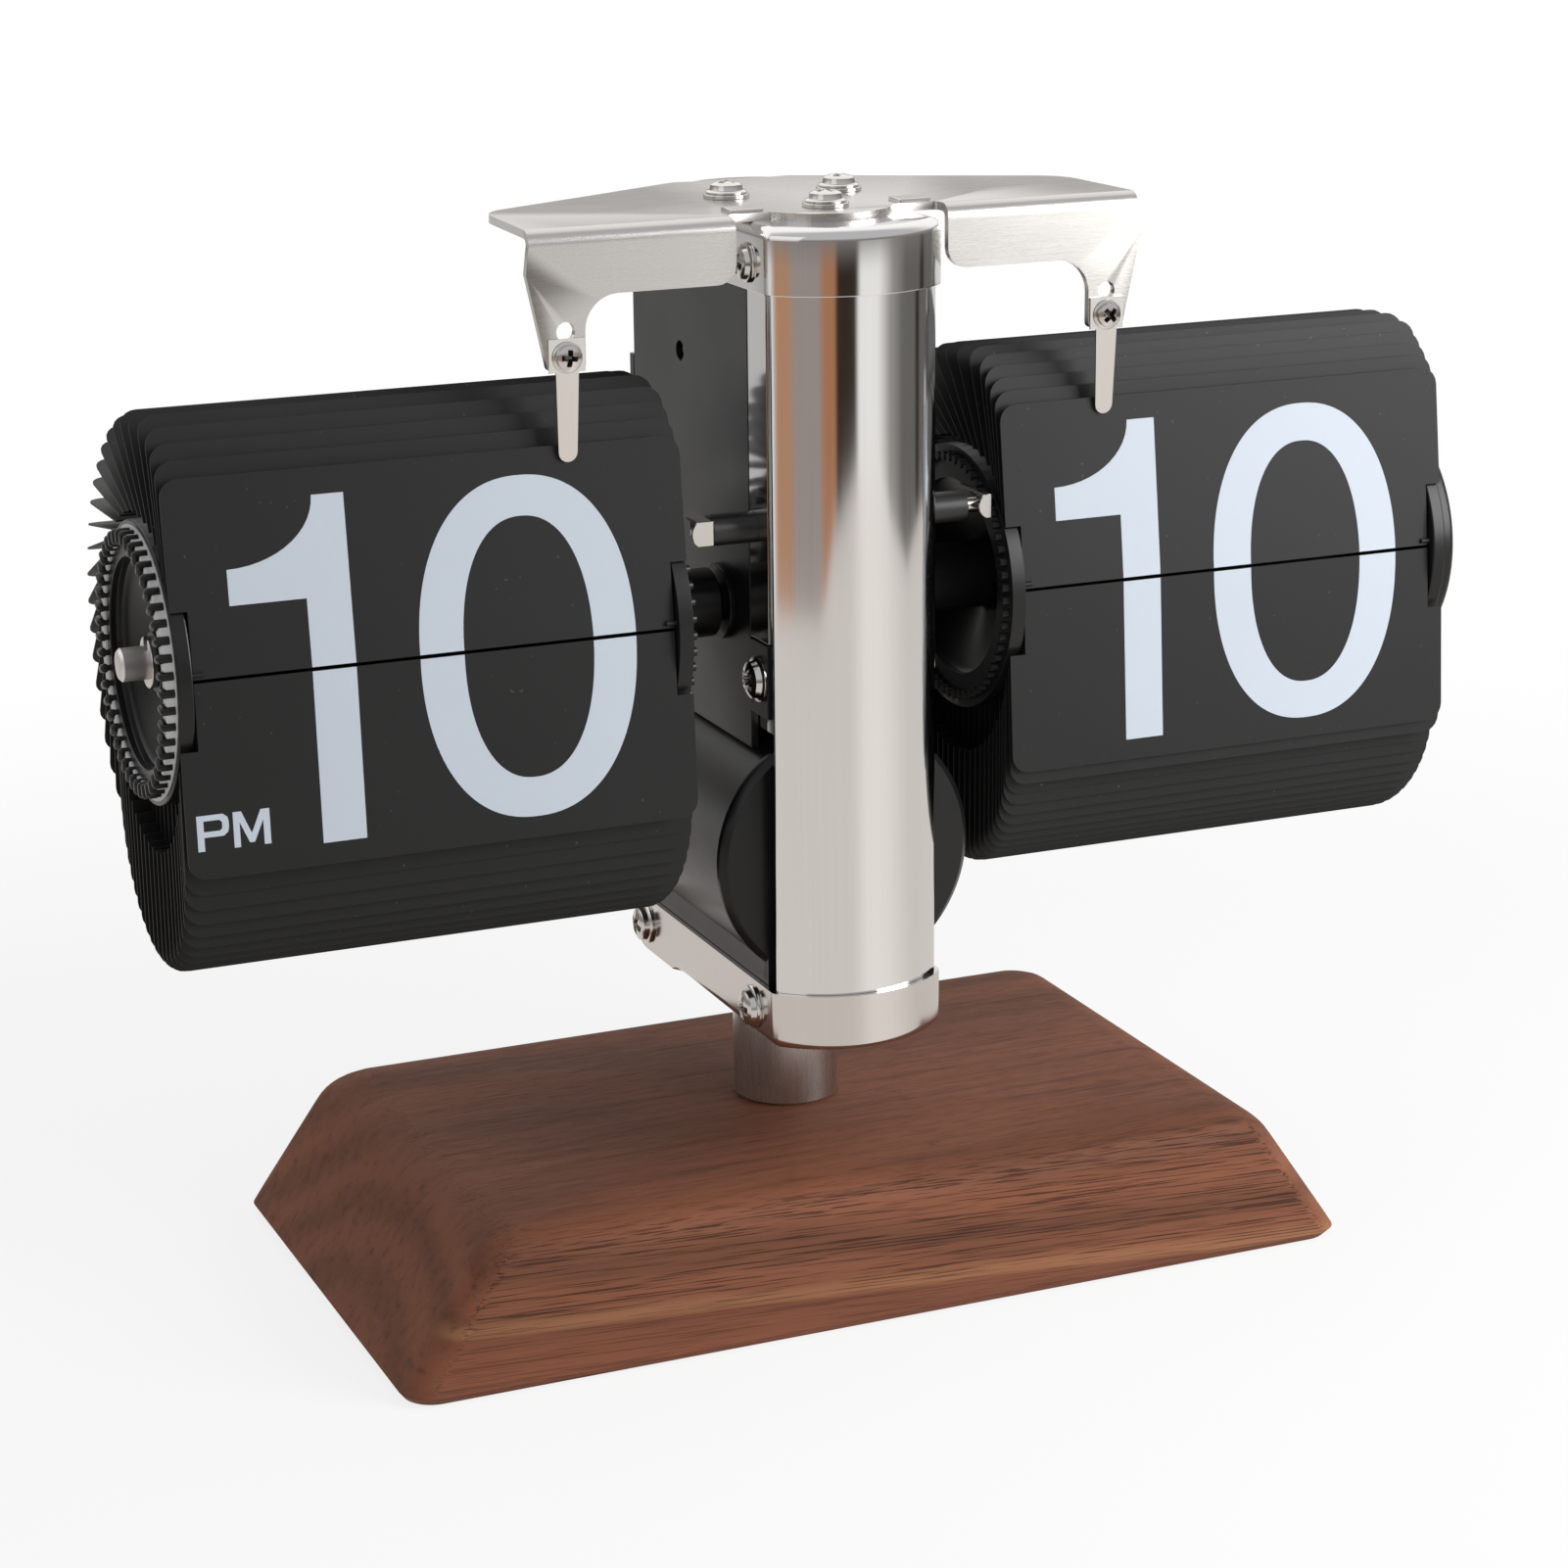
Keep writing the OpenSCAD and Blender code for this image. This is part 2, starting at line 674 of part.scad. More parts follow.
module battery_cell() {
  color([0.75, 0.6, 0.25]) union() {
    rod_y_axis(0, cell_y, cell_y + cell_l - nub_l, tube_z, cell_d / 2, cell_d / 2);
    rod_y_axis(0, cell_y + cell_l - nub_l - eps, cell_y + cell_l, tube_z, 4.75, 4.75);
  }
}

module contact_spring() {
  color([0.8, 0.8, 0.8]) difference() {
    rod_y_axis(0, cell_y - contact_l, cell_y, tube_z, 8, 6);
    rod_y_axis(0, cell_y - contact_l - 1, cell_y + 1, tube_z, 5.5, 4.5);
  }
}

module battery_cap() {
  seat = tube_back + 0.2;
  face = cell_y + cell_l + 1.5;
  color([0.05, 0.05, 0.05]) difference() {
    union() {
      rod_y_axis(0, seat, face, tube_z, tube_r, tube_r - 0.8);
      rod_y_axis(0, tube_back - 4.6, seat + eps, tube_z, lip_r - 0.4, lip_r - 0.4);
      span([-11, face - eps, tube_z - 2], [11, face + 1, tube_z + 2]);
    }
    rod_y_axis(0, tube_back - 6, face - 1.2, tube_z, bore_r, bore_r);
  }
}

// Drive

module movement_box() {
  low = motor_z - 1.9;
  step_z = axis_z + hour_r + 1.4;
  color([0.12, 0.12, 0.12]) difference() {
    union() {
      span([-7.4, -13.4, low], [6.5, 11, axis_z + 32.7]);
      span([-bracket_hw, -13.4, step_z], [-7, 11, axis_z + 32.7]);
    }
    rod_x(2, 8, motor_y, motor_z, motor_shaft_r + run_fit);
  }
}

module motor_pinion() {
  color([0.8, 0.65, 0.3]) union() {
    gear_x(gear_hw, motor_y, motor_z, motor_t, motor_r, 0.4);
    rod_x(3, 10.8, motor_y, motor_z, motor_shaft_r);
  }
}

module lay_arbor() {
  color([0.7, 0.7, 0.7]) rod_x(-chassis_hw + 0.2, chassis_hw - 0.2, lay_y, axis_z, lay_shaft_r);
}

module lay_gear() {
  color([0.9, 0.9, 0.86]) union() {
    gear_x(gear_hw, lay_y, axis_z, lay_t, lay_r, lay_shaft_r);
    difference() {
      rod_x(gear_hw[0] - 1.2, gear_hw[0] + eps, lay_y, axis_z, lay_shaft_r + 1.5);
      rod_x(gear_hw[0] - 3, gear_hw[1], lay_y, axis_z, lay_shaft_r);
    }
  }
}

module lay_pinion() {
  color([0.9, 0.9, 0.86])
    gear_x([-small_hw[1], -small_hw[0]], lay_y, axis_z, lay_pin_t, lay_pin_r, lay_shaft_r);
}

module setting_arbor() {
  color([0.7, 0.7, 0.7]) union() {
    rod_x(-chassis_hw + 0.2, chassis_hw - 0.2, setting_y, setting_z, set_shaft_r);
    gear_x(gear_hw, setting_y, setting_z, setting_t, setting_r, 0.6);
  }
}

module setting_wheel() {
  ribs = 30;
  rib = [[-0.3, 0.6], [-0.15, 0], [0.15, 0], [0.3, 0.6]];
  color([0.1, 0.1, 0.1]) translate([-wheel_hw, setting_y, setting_z]) rotate([0, 90, 0]) difference() {
    linear_extrude(2 * wheel_hw) polygon([for (i = [0:ribs - 1], p = rib)
      [(wheel_r - p[1]) * cos((i + p[0]) * 360 / ribs), (wheel_r - p[1]) * sin((i + p[0]) * 360 / ribs)]]);
    translate([0, 0, -1]) cylinder(r = set_shaft_r, h = 2 * wheel_hw + 2);
  }
}

// Axle and drums

module main_axle() {
  color([0.75, 0.75, 0.75]) both() union() {
    rod_x(0, axle_end - 0.4, axis_y, axis_z, axle_r);
    translate([axle_end - 0.4 - eps, axis_y, axis_z]) rotate([0, 90, 0])
      cylinder(r1 = axle_r, r2 = axle_r - 0.4, h = 0.4 + eps);
  }
}

clip_x = card_out - 1.5;
clip_w = 0.9;

module axle_clips() {
  color([0.85, 0.85, 0.85]) both() difference() {
    rod_x(clip_x, clip_x + clip_w, axis_y, axis_z, axle_r + 1.3);
    rod_x(clip_x - 1, clip_x + 1, axis_y, axis_z, axle_r);
    span([clip_x - 1, axis_y - 1.2, axis_z], [clip_x + 2, axis_y + 1.2, axis_z + 8]);
  }
}

module axle_bushes() {
  color([0.15, 0.15, 0.15]) both() difference() {
    union() {
      rod_x(inner_hw, chassis_hw + eps, axis_y, axis_z, bush_r);
      rod_x(chassis_hw, chassis_hw + 0.9, axis_y, axis_z, bush_r + 1);
    }
    rod_x(inner_hw - 1, chassis_hw + 2, axis_y, axis_z, bush_bore);
  }
}

// Lathe-turned piece about the drum axis; points are [distance from the middle, radius]
module turned(side, pts) {
  translate([0, axis_y, axis_z]) rotate([0, side * 90, 0]) rotate_extrude()
    polygon([for (p = pts) [p[1], p[0]]]);
}

module hub(side) {
  color([0.06, 0.06, 0.06]) turned(side, [[sleeve_end, hub_bore], [sleeve_end, sleeve_r],
    [hub_step, sleeve_r], [hub_step, hub_r], [card_out - 3.2, hub_r], [card_out - 3.2, axle_r + 2],
    [clip_x - hair, axle_r + 2], [clip_x - hair, hub_bore]]);
}

// Dished disc: a flat rim and a web that sinks towards the hub
module outer_disc(side) {
  x = card_out;
  color([0.06, 0.06, 0.06]) turned(side, [[x, ring_in], [x, disc_r], [x - disc_t, disc_r],
    [x - disc_t, ring_in - 1], [x - 7, hub_r], [x - 5, hub_r], [x - 1.4, ring_in - 0.8], [x - 1, ring_in]]);
}

module inner_disc(side, count) {
  x = card_in;
  color([0.06, 0.06, 0.06]) union() {
    turned(side, [[x, ring_in], [x, disc_r], [x + disc_t, disc_r], [x + disc_t, ring_in - 1],
      [x + 7, hub_r], [x + 5, hub_r], [x + 1.4, ring_in - 0.8], [x + 1, ring_in]]);
    for (i = [0:count - 1]) rotate_pin(i * 360 / count)
      rod_x(side * (x - 1), side * (x + 0.4), axis_y, axis_z + pin_circle, pin_r);
  }
}

// Turn a piece about the drum axis
module rotate_pin(a) {
  translate([0, axis_y, axis_z]) rotate([a, 0, 0]) translate([0, -axis_y, -axis_z]) children();
}

module end_ring(side, count) {
  x = card_out;
  color([0.7, 0.7, 0.7]) union() {
    turned(side, [[x, ring_in], [x, ring_out], [x + ring_t, ring_out], [x + ring_t, ring_in]]);
    for (i = [0:count - 1]) rotate_pin(i * 360 / count) mirror([side > 0 ? 0 : 1, 0, 0])
      span([x + ring_t - 0.3, axis_y - pin_r, axis_z + pin_circle - bar_in],
        [x + ring_t + pin_out, axis_y + pin_r, axis_z + pin_circle + pin_r]);
  }
}

module hour_hub() {
  hub(-1);
}

module hour_gear() {
  color([0.9, 0.9, 0.86]) gear_x([-small_hw[1], -small_hw[0]], axis_y, axis_z, hour_t, hour_r, sleeve_r);
}

module hour_outer_disc() {
  outer_disc(-1);
}

module hour_end_ring() {
  end_ring(-1, hour_cards);
}

module hour_inner_disc() {
  inner_disc(-1, hour_cards);
}

module minute_hub() {
  hub(1);
}

module minute_pinion() {
  color([0.9, 0.9, 0.86]) gear_x(gear_hw, axis_y, axis_z, minute_t, minute_r, sleeve_r);
}

module minute_outer_disc() {
  outer_disc(1);
}

module minute_end_ring() {
  end_ring(1, minute_cards);
}

module minute_inner_disc() {
  inner_disc(1, minute_cards);
}

// Number cards

// One card with its pin line on X and its free edge up
module card() {
  hw = card_w / 2;
  rotate([90, 0, 0]) linear_extrude(card_t, center = true) polygon(concat(
    [[-neck_hw, -over_pin], [neck_hw, -over_pin], [neck_hw, notch_h], [hw, notch_h]],
    arc(hw - card_round, card_len - card_round, card_round, 0, 90, corner_steps),
    arc(card_round - hw, card_len - card_round, card_round, 90, 180, corner_steps),
    [[-hw, notch_h], [-neck_hw, notch_h]]));
}

// Card on a pin at (y, z) from the drum axis, leaning back by an angle and shifted off its pin
module card_at(side, y, z, lean, shift) {
  translate([side * card_cx, axis_y + y, axis_z + z]) rotate([-lean, 0, 0]) translate([0, shift, 0]) card();
}

// Lean of a resting card from the angle of its pin above the front of the drum
function chord(step) = 2 * pin_circle * sin(step / 2);
function lie(step) = asin((card_t + card_free + over_pin * sin(step)) / chord(step));
function tangent(phi, step) = phi - lie(step) + step / 2;
function upper_lie(phi, step) = lookup(phi, [[front_phi, upper_lean], [33, 17.4], [45, 33],
  [80, tangent(80, step)], [200, tangent(200, step)]]);
function rest_lean(phi, step) = phi < 60 ? upper_lie(phi, step)
  : phi < 200 ? min(upper_lie(phi, step), tangent(phi, step), 180)
  : 180 + max(0, lie(step) + phi - 360 - step / 2);

// Play of an upper card on its pin, so that the first few cards clear one another
function play(phi) = lookup(phi, [[12, 0], [18, 0.15], [26, 0.2], [40, 0]]);

// Resting cards number k0 to k1, counted over the top from the falling card
module card_pack(side, count, k0, k1) {
  step = 360 / count;
  color([0.2, 0.2, 0.21]) for (k = [k0:k1]) {
    phi = front_phi + k * step;
    card_at(side, -pin_circle * cos(phi), pin_circle * sin(phi), rest_lean(phi, step), play(phi));
  }
}

// Falling card with a round pin at each end of its hinge line
module front_flap(side) {
  pin_end = neck_hw + air - hair;
  color([0.2, 0.2, 0.21]) union() {
    card_at(side, -front_r, front_up, upper_lean, front_back);
    translate([side * card_cx, 0, 0]) both()
      rod_x(pin_end - card_pin_l, pin_end, axis_y - front_r, axis_z + front_up, card_pin_r);
  }
}

module lower_flap(side) {
  color([0.2, 0.2, 0.21]) card_at(side, -low_r, low_up, 180 + lower_lean, 0);
}

hour_half = 24;
minute_half = 30;

module hour_front_flap() {
  front_flap(-1);
}

module hour_lower_flap() {
  lower_flap(-1);
}

module hour_upper_flaps() {
  card_pack(-1, hour_cards, 1, hour_half);
}

module hour_hanging_flaps() {
  card_pack(-1, hour_cards, hour_half + 1, hour_cards - 2);
}

module minute_front_flap() {
  front_flap(1);
}

module minute_lower_flap() {
  lower_flap(1);
}

module minute_upper_flaps() {
  card_pack(1, minute_cards, 1, minute_half);
}

module minute_hanging_flaps() {
  card_pack(1, minute_cards, minute_half + 1, minute_cards - 2);
}

// Stop rod between the displays

module stop_rod() {
  color([0.06, 0.06, 0.06]) difference() {
    rod_x(-rod_ends[0], rod_ends[1], rod_y, rod_z, rod_r);
    rod_x(-30, 30, rod_y, rod_z, rod_pin_r + run_fit);
  }
}

// Clip in front of the rod's pin, from its round end at x0 to x1, with an arm to the back
module stop_clip(x0, x1, round_r) {
  top = clip_mid + clip_hh;
  intersection() {
    span([x0, clip_front, clip_mid - clip_hh], [x1, clip_front + clip_t, top]);
    rod_y_axis(x0 + round_r, clip_front - 1, clip_front + 1, clip_mid, round_r, round_r);
  }
  span([x0 + 1, clip_front, top - clip_t], [x1, rod_y + 6, top]);
}

// Wall of a clip that its pin runs into
module clip_wall(x0) {
  span([x0, clip_front, clip_mid - clip_hh / 2], [x0 + 0.5, rod_y + rod_pin_r, clip_mid + clip_hh]);
}

module stop_clips() {
  color([0.85, 0.85, 0.85]) union() {
    rod_x(-clip_ends[0] + 1.2, clip_ends[1], rod_y, rod_z, rod_pin_r);
    clip_wall(-clip_ends[0] + 1.2);
    clip_wall(clip_ends[1] - 0.5);
    stop_clip(-clip_ends[0], -clip_ends[0] + 3.2, 2.2);
    stop_clip(clip_ends[1] - 1.9, clip_ends[1], 1.9);
  }
}

wood_base();
base_bolt();
base_washer();
stem();
bottom_strap();
strap_bolt();
strap_screws();
pillar();
top_cap();
cap_screws();
top_bracket();
top_screws();
top_washers();
left_spring();
right_spring();
spring_screws();
left_side_plate();
right_side_plate();
chassis_top();
chassis_spacers();
front_bracket();
axle_clamp();
pillar_screws();
rear_cover();
rear_cover_screws();
battery_housing();
battery_cell();
contact_spring();
battery_cap();
movement_box();
motor_pinion();
lay_arbor();
lay_gear();
lay_pinion();
setting_arbor();
setting_wheel();
main_axle();
axle_clips();
axle_bushes();
hour_hub();
hour_gear();
hour_outer_disc();
hour_end_ring();
hour_inner_disc();
minute_hub();
minute_pinion();
minute_outer_disc();
minute_end_ring();
minute_inner_disc();
hour_front_flap();
hour_lower_flap();
hour_upper_flaps();
hour_hanging_flaps();
minute_front_flap();
minute_lower_flap();
minute_upper_flaps();
minute_hanging_flaps();
stop_rod();
stop_clips();
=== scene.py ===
# %% [markdown]
# # A flip clock on a walnut base
# Two drums of split number cards hang either side of a slim steel pillar. The solids of the clock
# come in as a fixed frame in metres. This lesson adds what a solid lacks: folded sheet edges, screw
# heads, printed digits and the finish of each surface. Everything stays in the frame's own
# coordinates, so nothing has to be fitted.

# %% Load the fixed frame
import json
import math

import bmesh
import bpy
import numpy as np
from mathutils import Matrix, Vector


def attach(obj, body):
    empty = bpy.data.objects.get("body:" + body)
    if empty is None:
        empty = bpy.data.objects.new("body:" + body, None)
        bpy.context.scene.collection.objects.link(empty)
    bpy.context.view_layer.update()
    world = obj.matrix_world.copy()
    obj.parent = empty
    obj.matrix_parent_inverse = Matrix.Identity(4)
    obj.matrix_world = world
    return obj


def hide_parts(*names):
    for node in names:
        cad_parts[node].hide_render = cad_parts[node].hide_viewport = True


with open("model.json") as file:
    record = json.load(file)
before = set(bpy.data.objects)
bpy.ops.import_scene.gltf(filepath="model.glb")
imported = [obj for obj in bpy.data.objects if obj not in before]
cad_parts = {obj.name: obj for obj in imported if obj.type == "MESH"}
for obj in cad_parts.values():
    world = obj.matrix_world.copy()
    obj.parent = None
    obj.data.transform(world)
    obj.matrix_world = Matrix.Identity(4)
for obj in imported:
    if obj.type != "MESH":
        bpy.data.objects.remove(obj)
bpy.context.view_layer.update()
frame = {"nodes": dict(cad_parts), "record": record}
MM = 0.001
scene = bpy.context.scene
scene.view_settings.view_transform = "Standard"
body_of_node = {n: b for b, members in frame["record"]["behaviour"]["bodies"].items() for n in members}
slot_of_node = {row["node"]: row["material_slot"] for row in frame["record"]["subparts"]}

# %% [markdown]
# ## The camera
# The camera was solved from edges whose sizes are known: the base, the cards and the pillar. It
# stands half a metre away, left of the middle and a little above. A turned camera is easiest to write
# as three unit vectors, which are the columns of its matrix.

# %% Place the camera
CAMERA_AT = Vector((-217.41, -508.15, 232.75)) * MM
YAW = math.radians(23.18)
PITCH = math.radians(16.19)
ROLL = math.radians(-0.536)

forward = Vector((math.sin(YAW) * math.cos(PITCH), math.cos(YAW) * math.cos(PITCH), -math.sin(PITCH)))
level_right = Vector((math.cos(YAW), -math.sin(YAW), 0))
level_up = level_right.cross(forward)
right = level_right * math.cos(ROLL) + level_up * math.sin(ROLL)
up = level_up * math.cos(ROLL) - level_right * math.sin(ROLL)

lens = bpy.data.cameras.new("photo_lens")
lens.lens = 85.64
lens.sensor_width = 36
lens.clip_start = 0.01
camera = bpy.data.objects.new("photo_camera", lens)
camera.matrix_world = Matrix((right, up, -forward)).transposed().to_4x4()
camera.location = CAMERA_AT
scene.collection.objects.link(camera)
scene.camera = camera
print(f"camera {CAMERA_AT.length:.3f} m from the foot of the stem")

# %% [markdown]
# ## Writing node trees as sums
# A node tree can be clicked together, or written as code that reads like arithmetic. `Value` wraps
# one output socket, and its operators add Math nodes. `Tree.add` makes any other node from its type,
# its settings and what goes into its sockets. The same two classes serve for shaders and for Geometry
# Nodes.

# %% A value with arithmetic
class Value:
    """One output of a node, with arithmetic that adds Math nodes."""

    def __init__(self, tree, socket):
        self.tree = tree
        self.socket = socket

    def other(self, output):
        return Value(self.tree, self.socket.node.outputs[output])

    def math(self, operation, first, second=0.0):
        return self.tree.add("ShaderNodeMath", {"operation": operation}, {0: first, 1: second})

    def __add__(self, other):
        return self.math("ADD", self, other)

    __radd__ = __add__

    def __sub__(self, other):
        return self.math("SUBTRACT", self, other)

    def __rsub__(self, other):
        return self.math("SUBTRACT", other, self)

    def __mul__(self, other):
        return self.math("MULTIPLY", self, other)

    __rmul__ = __mul__

    def __truediv__(self, other):
        return self.math("DIVIDE", self, other)

    def __neg__(self):
        return self.math("MULTIPLY", self, -1.0)

    def sine(self):
        return self.math("SINE", self)

    def root(self):
        return self.math("SQRT", self)

    def bearing(self, across):
        return self.math("ARCTAN2", self, across)

    def step(self, low, high):
        """0 below low, 1 above high, and smooth between them."""
        settings = {"interpolation_type": "SMOOTHSTEP"}
        return self.tree.add("ShaderNodeMapRange", settings, {0: self, 1: low, 2: high})


print("a value's operators add Math nodes")

# %% A tree that code fills
class Tree:
    """A node tree that is filled by code."""

    def __init__(self, node_tree):
        self.tree = node_tree
        self.tree.nodes.clear()

    def add(self, kind, settings=None, inputs=None, output=0):
        node = self.tree.nodes.new(kind)
        for name, setting in (settings or {}).items():
            if name == "stops":
                self.set_stops(node.color_ramp, setting)
            else:
                setattr(node, name, setting)
        for name, value in (inputs or {}).items():
            self.plug(node.inputs[name], value)
        return Value(self, node.outputs[output]) if node.outputs else node

    def plug(self, socket, value):
        if isinstance(value, Value):
            self.tree.links.new(value.socket, socket)
        else:
            socket.default_value = value

    def set_stops(self, ramp, stops):
        while len(ramp.elements) < len(stops):
            ramp.elements.new(1.0)
        for element, (place, colour) in zip(ramp.elements, stops):
            element.position = place
            element.color = (*colour, 1.0)

    def mix(self, factor, first, second):
        """A colour between two colours."""
        paints = [c if isinstance(c, Value) else (*c, 1.0) for c in (first, second)]
        inputs = {0: factor, 6: paints[0], 7: paints[1]}
        return self.add("ShaderNodeMix", {"data_type": "RGBA"}, inputs, output=2)


print("node helpers ready")

# %% [markdown]
# ## The studio
# Polished steel has no colour of its own: it shows the room. The bowed pillar spreads the room out
# from left to right, as warm and dark bands on its left, a white card in front and grey on its right.
# One ramp round the horizon stands for that room, and only reflections see it. The ceiling is lighter
# at the back, where it meets a white backdrop, than above the camera. The camera sees plain white,
# and matt surfaces get an even grey.

# %% The room that the metal reflects
studio = bpy.data.worlds.new("studio")
studio.use_nodes = True
scene.world = studio
room = Tree(studio.node_tree)

PALE_WALL = (0.80, 0.80, 0.80)
SHADED_WALL = (0.33, 0.32, 0.30)
DUSK_WALL = (0.15, 0.145, 0.135)
TAN_WALL = (0.50, 0.28, 0.17)
GREY_CARD = (0.37, 0.32, 0.30)
COPPER_CARD = (0.46, 0.21, 0.11)
BLACK_FLAG = (0.033, 0.022, 0.016)
WHITE_CARD = (1.0, 1.0, 0.98)
FRONT_CEILING = (0.58, 0.58, 0.60)
BACK_CEILING = (1.20, 1.19, 1.18)
DARK_FLOOR = (0.25, 0.24, 0.23)
LOW_GREY = (0.46, 0.46, 0.46)
HIGH_GREY = (0.38, 0.38, 0.39)
AROUND = [
    (-180, -165, PALE_WALL), (-150, -115, SHADED_WALL), (-105, -72, PALE_WALL), (-66, -54, TAN_WALL),
    (-48, -26, GREY_CARD), (-20, -11, COPPER_CARD), (-8, 9, BLACK_FLAG), (13, 31, WHITE_CARD),
    (46, 48, SHADED_WALL), (60, 78, DUSK_WALL), (80, 83, BLACK_FLAG), (86, 98, DUSK_WALL),
    (108, 150, PALE_WALL), (168, 180, PALE_WALL),
]
ray = room.add("ShaderNodeTexCoord", output="Generated")
ray_x = room.add("ShaderNodeSeparateXYZ", {}, {0: ray}, output="X")
ray_y = ray_x.other("Y")
ray_z = ray_x.other("Z")
round_horizon = ray_x.bearing(-ray_y) / math.tau + 0.5
band_stops = [(angle / 360 + 0.5, colour) for start, end, colour in AROUND for angle in (start, end)]
bands = room.add("ShaderNodeValToRGB", {"stops": band_stops}, {0: round_horizon})
overhead = ray_z.step(0.06, 0.30)
near_floor = room.mix(ray_z.step(-0.14, 0.0), bands, DARK_FLOOR)
ceiling = room.mix(ray_y.step(-0.25, 0.35), FRONT_CEILING, BACK_CEILING)
metal_sees = room.mix(overhead, near_floor, ceiling)

light_path = room.add("ShaderNodeLightPath", output="Is Camera Ray")
matt_sees = room.mix(ray_z.step(-0.2, 0.8), LOW_GREY, HIGH_GREY)
without_camera = room.mix(light_path.other("Is Glossy Ray"), matt_sees, metal_sees)
seen = room.mix(light_path, without_camera, (1.0, 1.0, 1.0))
background = room.add("ShaderNodeBackground", {}, {"Color": seen, "Strength": 1.0})
room.add("ShaderNodeOutputWorld", {}, {"Surface": background})
print(f"studio: {len(AROUND)} bands round the horizon")

# %% [markdown]
# ## Lamps and table
# A large soft lamp stands to the right in front, so the right display is a little lighter than the
# left one. A weak one fills the left, and one overhead lights the wood but stays out of the
# reflections. The table is a pale sheet. The bands on the pillar end where its rim is, so the rim is
# nearer on some sides than on others. To the camera the sheet is nearly all white with a faint
# shadow, and it fades to the white of the room, so no edge shows.
# Reflections see it instead as a painted glow, brighter to the front right than elsewhere.

# %% Lamps
LAMPS = [
    ("key_lamp", (0.34, -0.32, 0.27), 0.30, 2.3),
    ("fill_lamp", (-0.75, -0.45, 0.45), 0.6, 0.5),
    ("top_lamp", (0.0, 0.1, 1.0), 0.8, 1.4),
]
TARGET = Vector((0, 0, 0.1))
for name, place, size, power in LAMPS:
    lamp = bpy.data.lights.new(name, "AREA")
    lamp.size = size
    lamp.energy = power
    lamp_object = bpy.data.objects.new(name, lamp)
    lamp_object.location = place
    lamp_object.rotation_euler = (TARGET - Vector(place)).to_track_quat("-Z", "Y").to_euler()
    lamp_object.visible_glossy = name != "top_lamp"
    scene.collection.objects.link(lamp_object)
print(f"{len(LAMPS)} lamps")

# %% Table with a shaped rim
RIM_REACH = {
    -180: 0.47, -26: 0.47, -20: 0.50, -11: 0.58, 9: 0.67, 31: 0.68, 46: 0.58, 64: 0.52, 80: 0.57,
    95: 0.60, 130: 0.50, 180: 0.47,
}
RIM_POINTS = 144
table_mesh = bmesh.new()
bmesh.ops.create_circle(table_mesh, cap_ends=True, segments=RIM_POINTS, radius=1.0)
for vert in table_mesh.verts:
    bearing = math.degrees(math.atan2(vert.co.x, -vert.co.y))
    vert.co *= np.interp(bearing, list(RIM_REACH), list(RIM_REACH.values()))
table_data = bpy.data.meshes.new("table")
table_mesh.to_mesh(table_data)
table_mesh.free()
table = bpy.data.objects.new("table", table_data)
table.location.z = -0.0002
scene.collection.objects.link(table)
print(f"table reaches {min(RIM_REACH.values())} to {max(RIM_REACH.values())} m")

# %% White to the camera, a painted glow to the metal
WHITE_NEAR = 0.82
TABLE_GREY = (0.86, 0.86, 0.86, 1.0)
PURE_WHITE = (1.0, 1.0, 1.0, 1.0)
# Painted light: reflections see the table glow in these colours, not the table under the lamps.
SIDE_SHEEN = (0.75, 0.71, 0.68)
FRONT_SHEEN = (0.97, 0.92, 0.89)
table_look = bpy.data.materials.new("pale_table")
table_look.use_nodes = True
table_tree = Tree(table_look.node_tree)
spot = table_tree.add("ShaderNodeTexCoord", output="Object")
out = table_tree.add("ShaderNodeVectorMath", {"operation": "LENGTH"}, {0: spot}, output="Value")
path = table_tree.add("ShaderNodeLightPath", output="Is Camera Ray")
white_share = WHITE_NEAR + (1.0 - WHITE_NEAR) * out.step(0.16, 0.42)
lit = table_tree.add("ShaderNodeBsdfDiffuse", {}, {"Color": TABLE_GREY})
white = table_tree.add("ShaderNodeEmission", {}, {"Color": PURE_WHITE, "Strength": 1.0})
spot_x = table_tree.add("ShaderNodeSeparateXYZ", {}, {0: spot}, output="X")
round_table = spot_x.bearing(-spot_x.other("Y"))
# Painted pool of light: the glow is brighter in a sector to the front right of the clock.
lit_sector = round_table.step(0.0, 0.35) * (1.0 - round_table.step(0.45, 1.2))
sheen = table_tree.mix(lit_sector, SIDE_SHEEN, FRONT_SHEEN)
pale = table_tree.add("ShaderNodeEmission", {}, {"Color": sheen, "Strength": 1.0})
to_camera = table_tree.add("ShaderNodeMixShader", {}, {0: path * white_share, 1: lit, 2: white})
to_all = table_tree.add("ShaderNodeMixShader", {}, {0: path.other("Is Glossy Ray"), 1: to_camera, 2: pale})
table_tree.add("ShaderNodeOutputMaterial", {}, {"Surface": to_all})
table_data.materials.append(table_look)
print(f"table: {len(table_look.node_tree.nodes)} nodes")

# %% [markdown]
# ## Finishes
# Every surface gets a finish from nodes, read in Object coordinates. All pieces sit at the origin, so
# those are the clock's own metres, and `Finish.grain` turns them into millimetres with a stretch
# along any axis. Noise that is stretched along one axis gives brushing, wood pores or card fibre,
# depending on the scale.

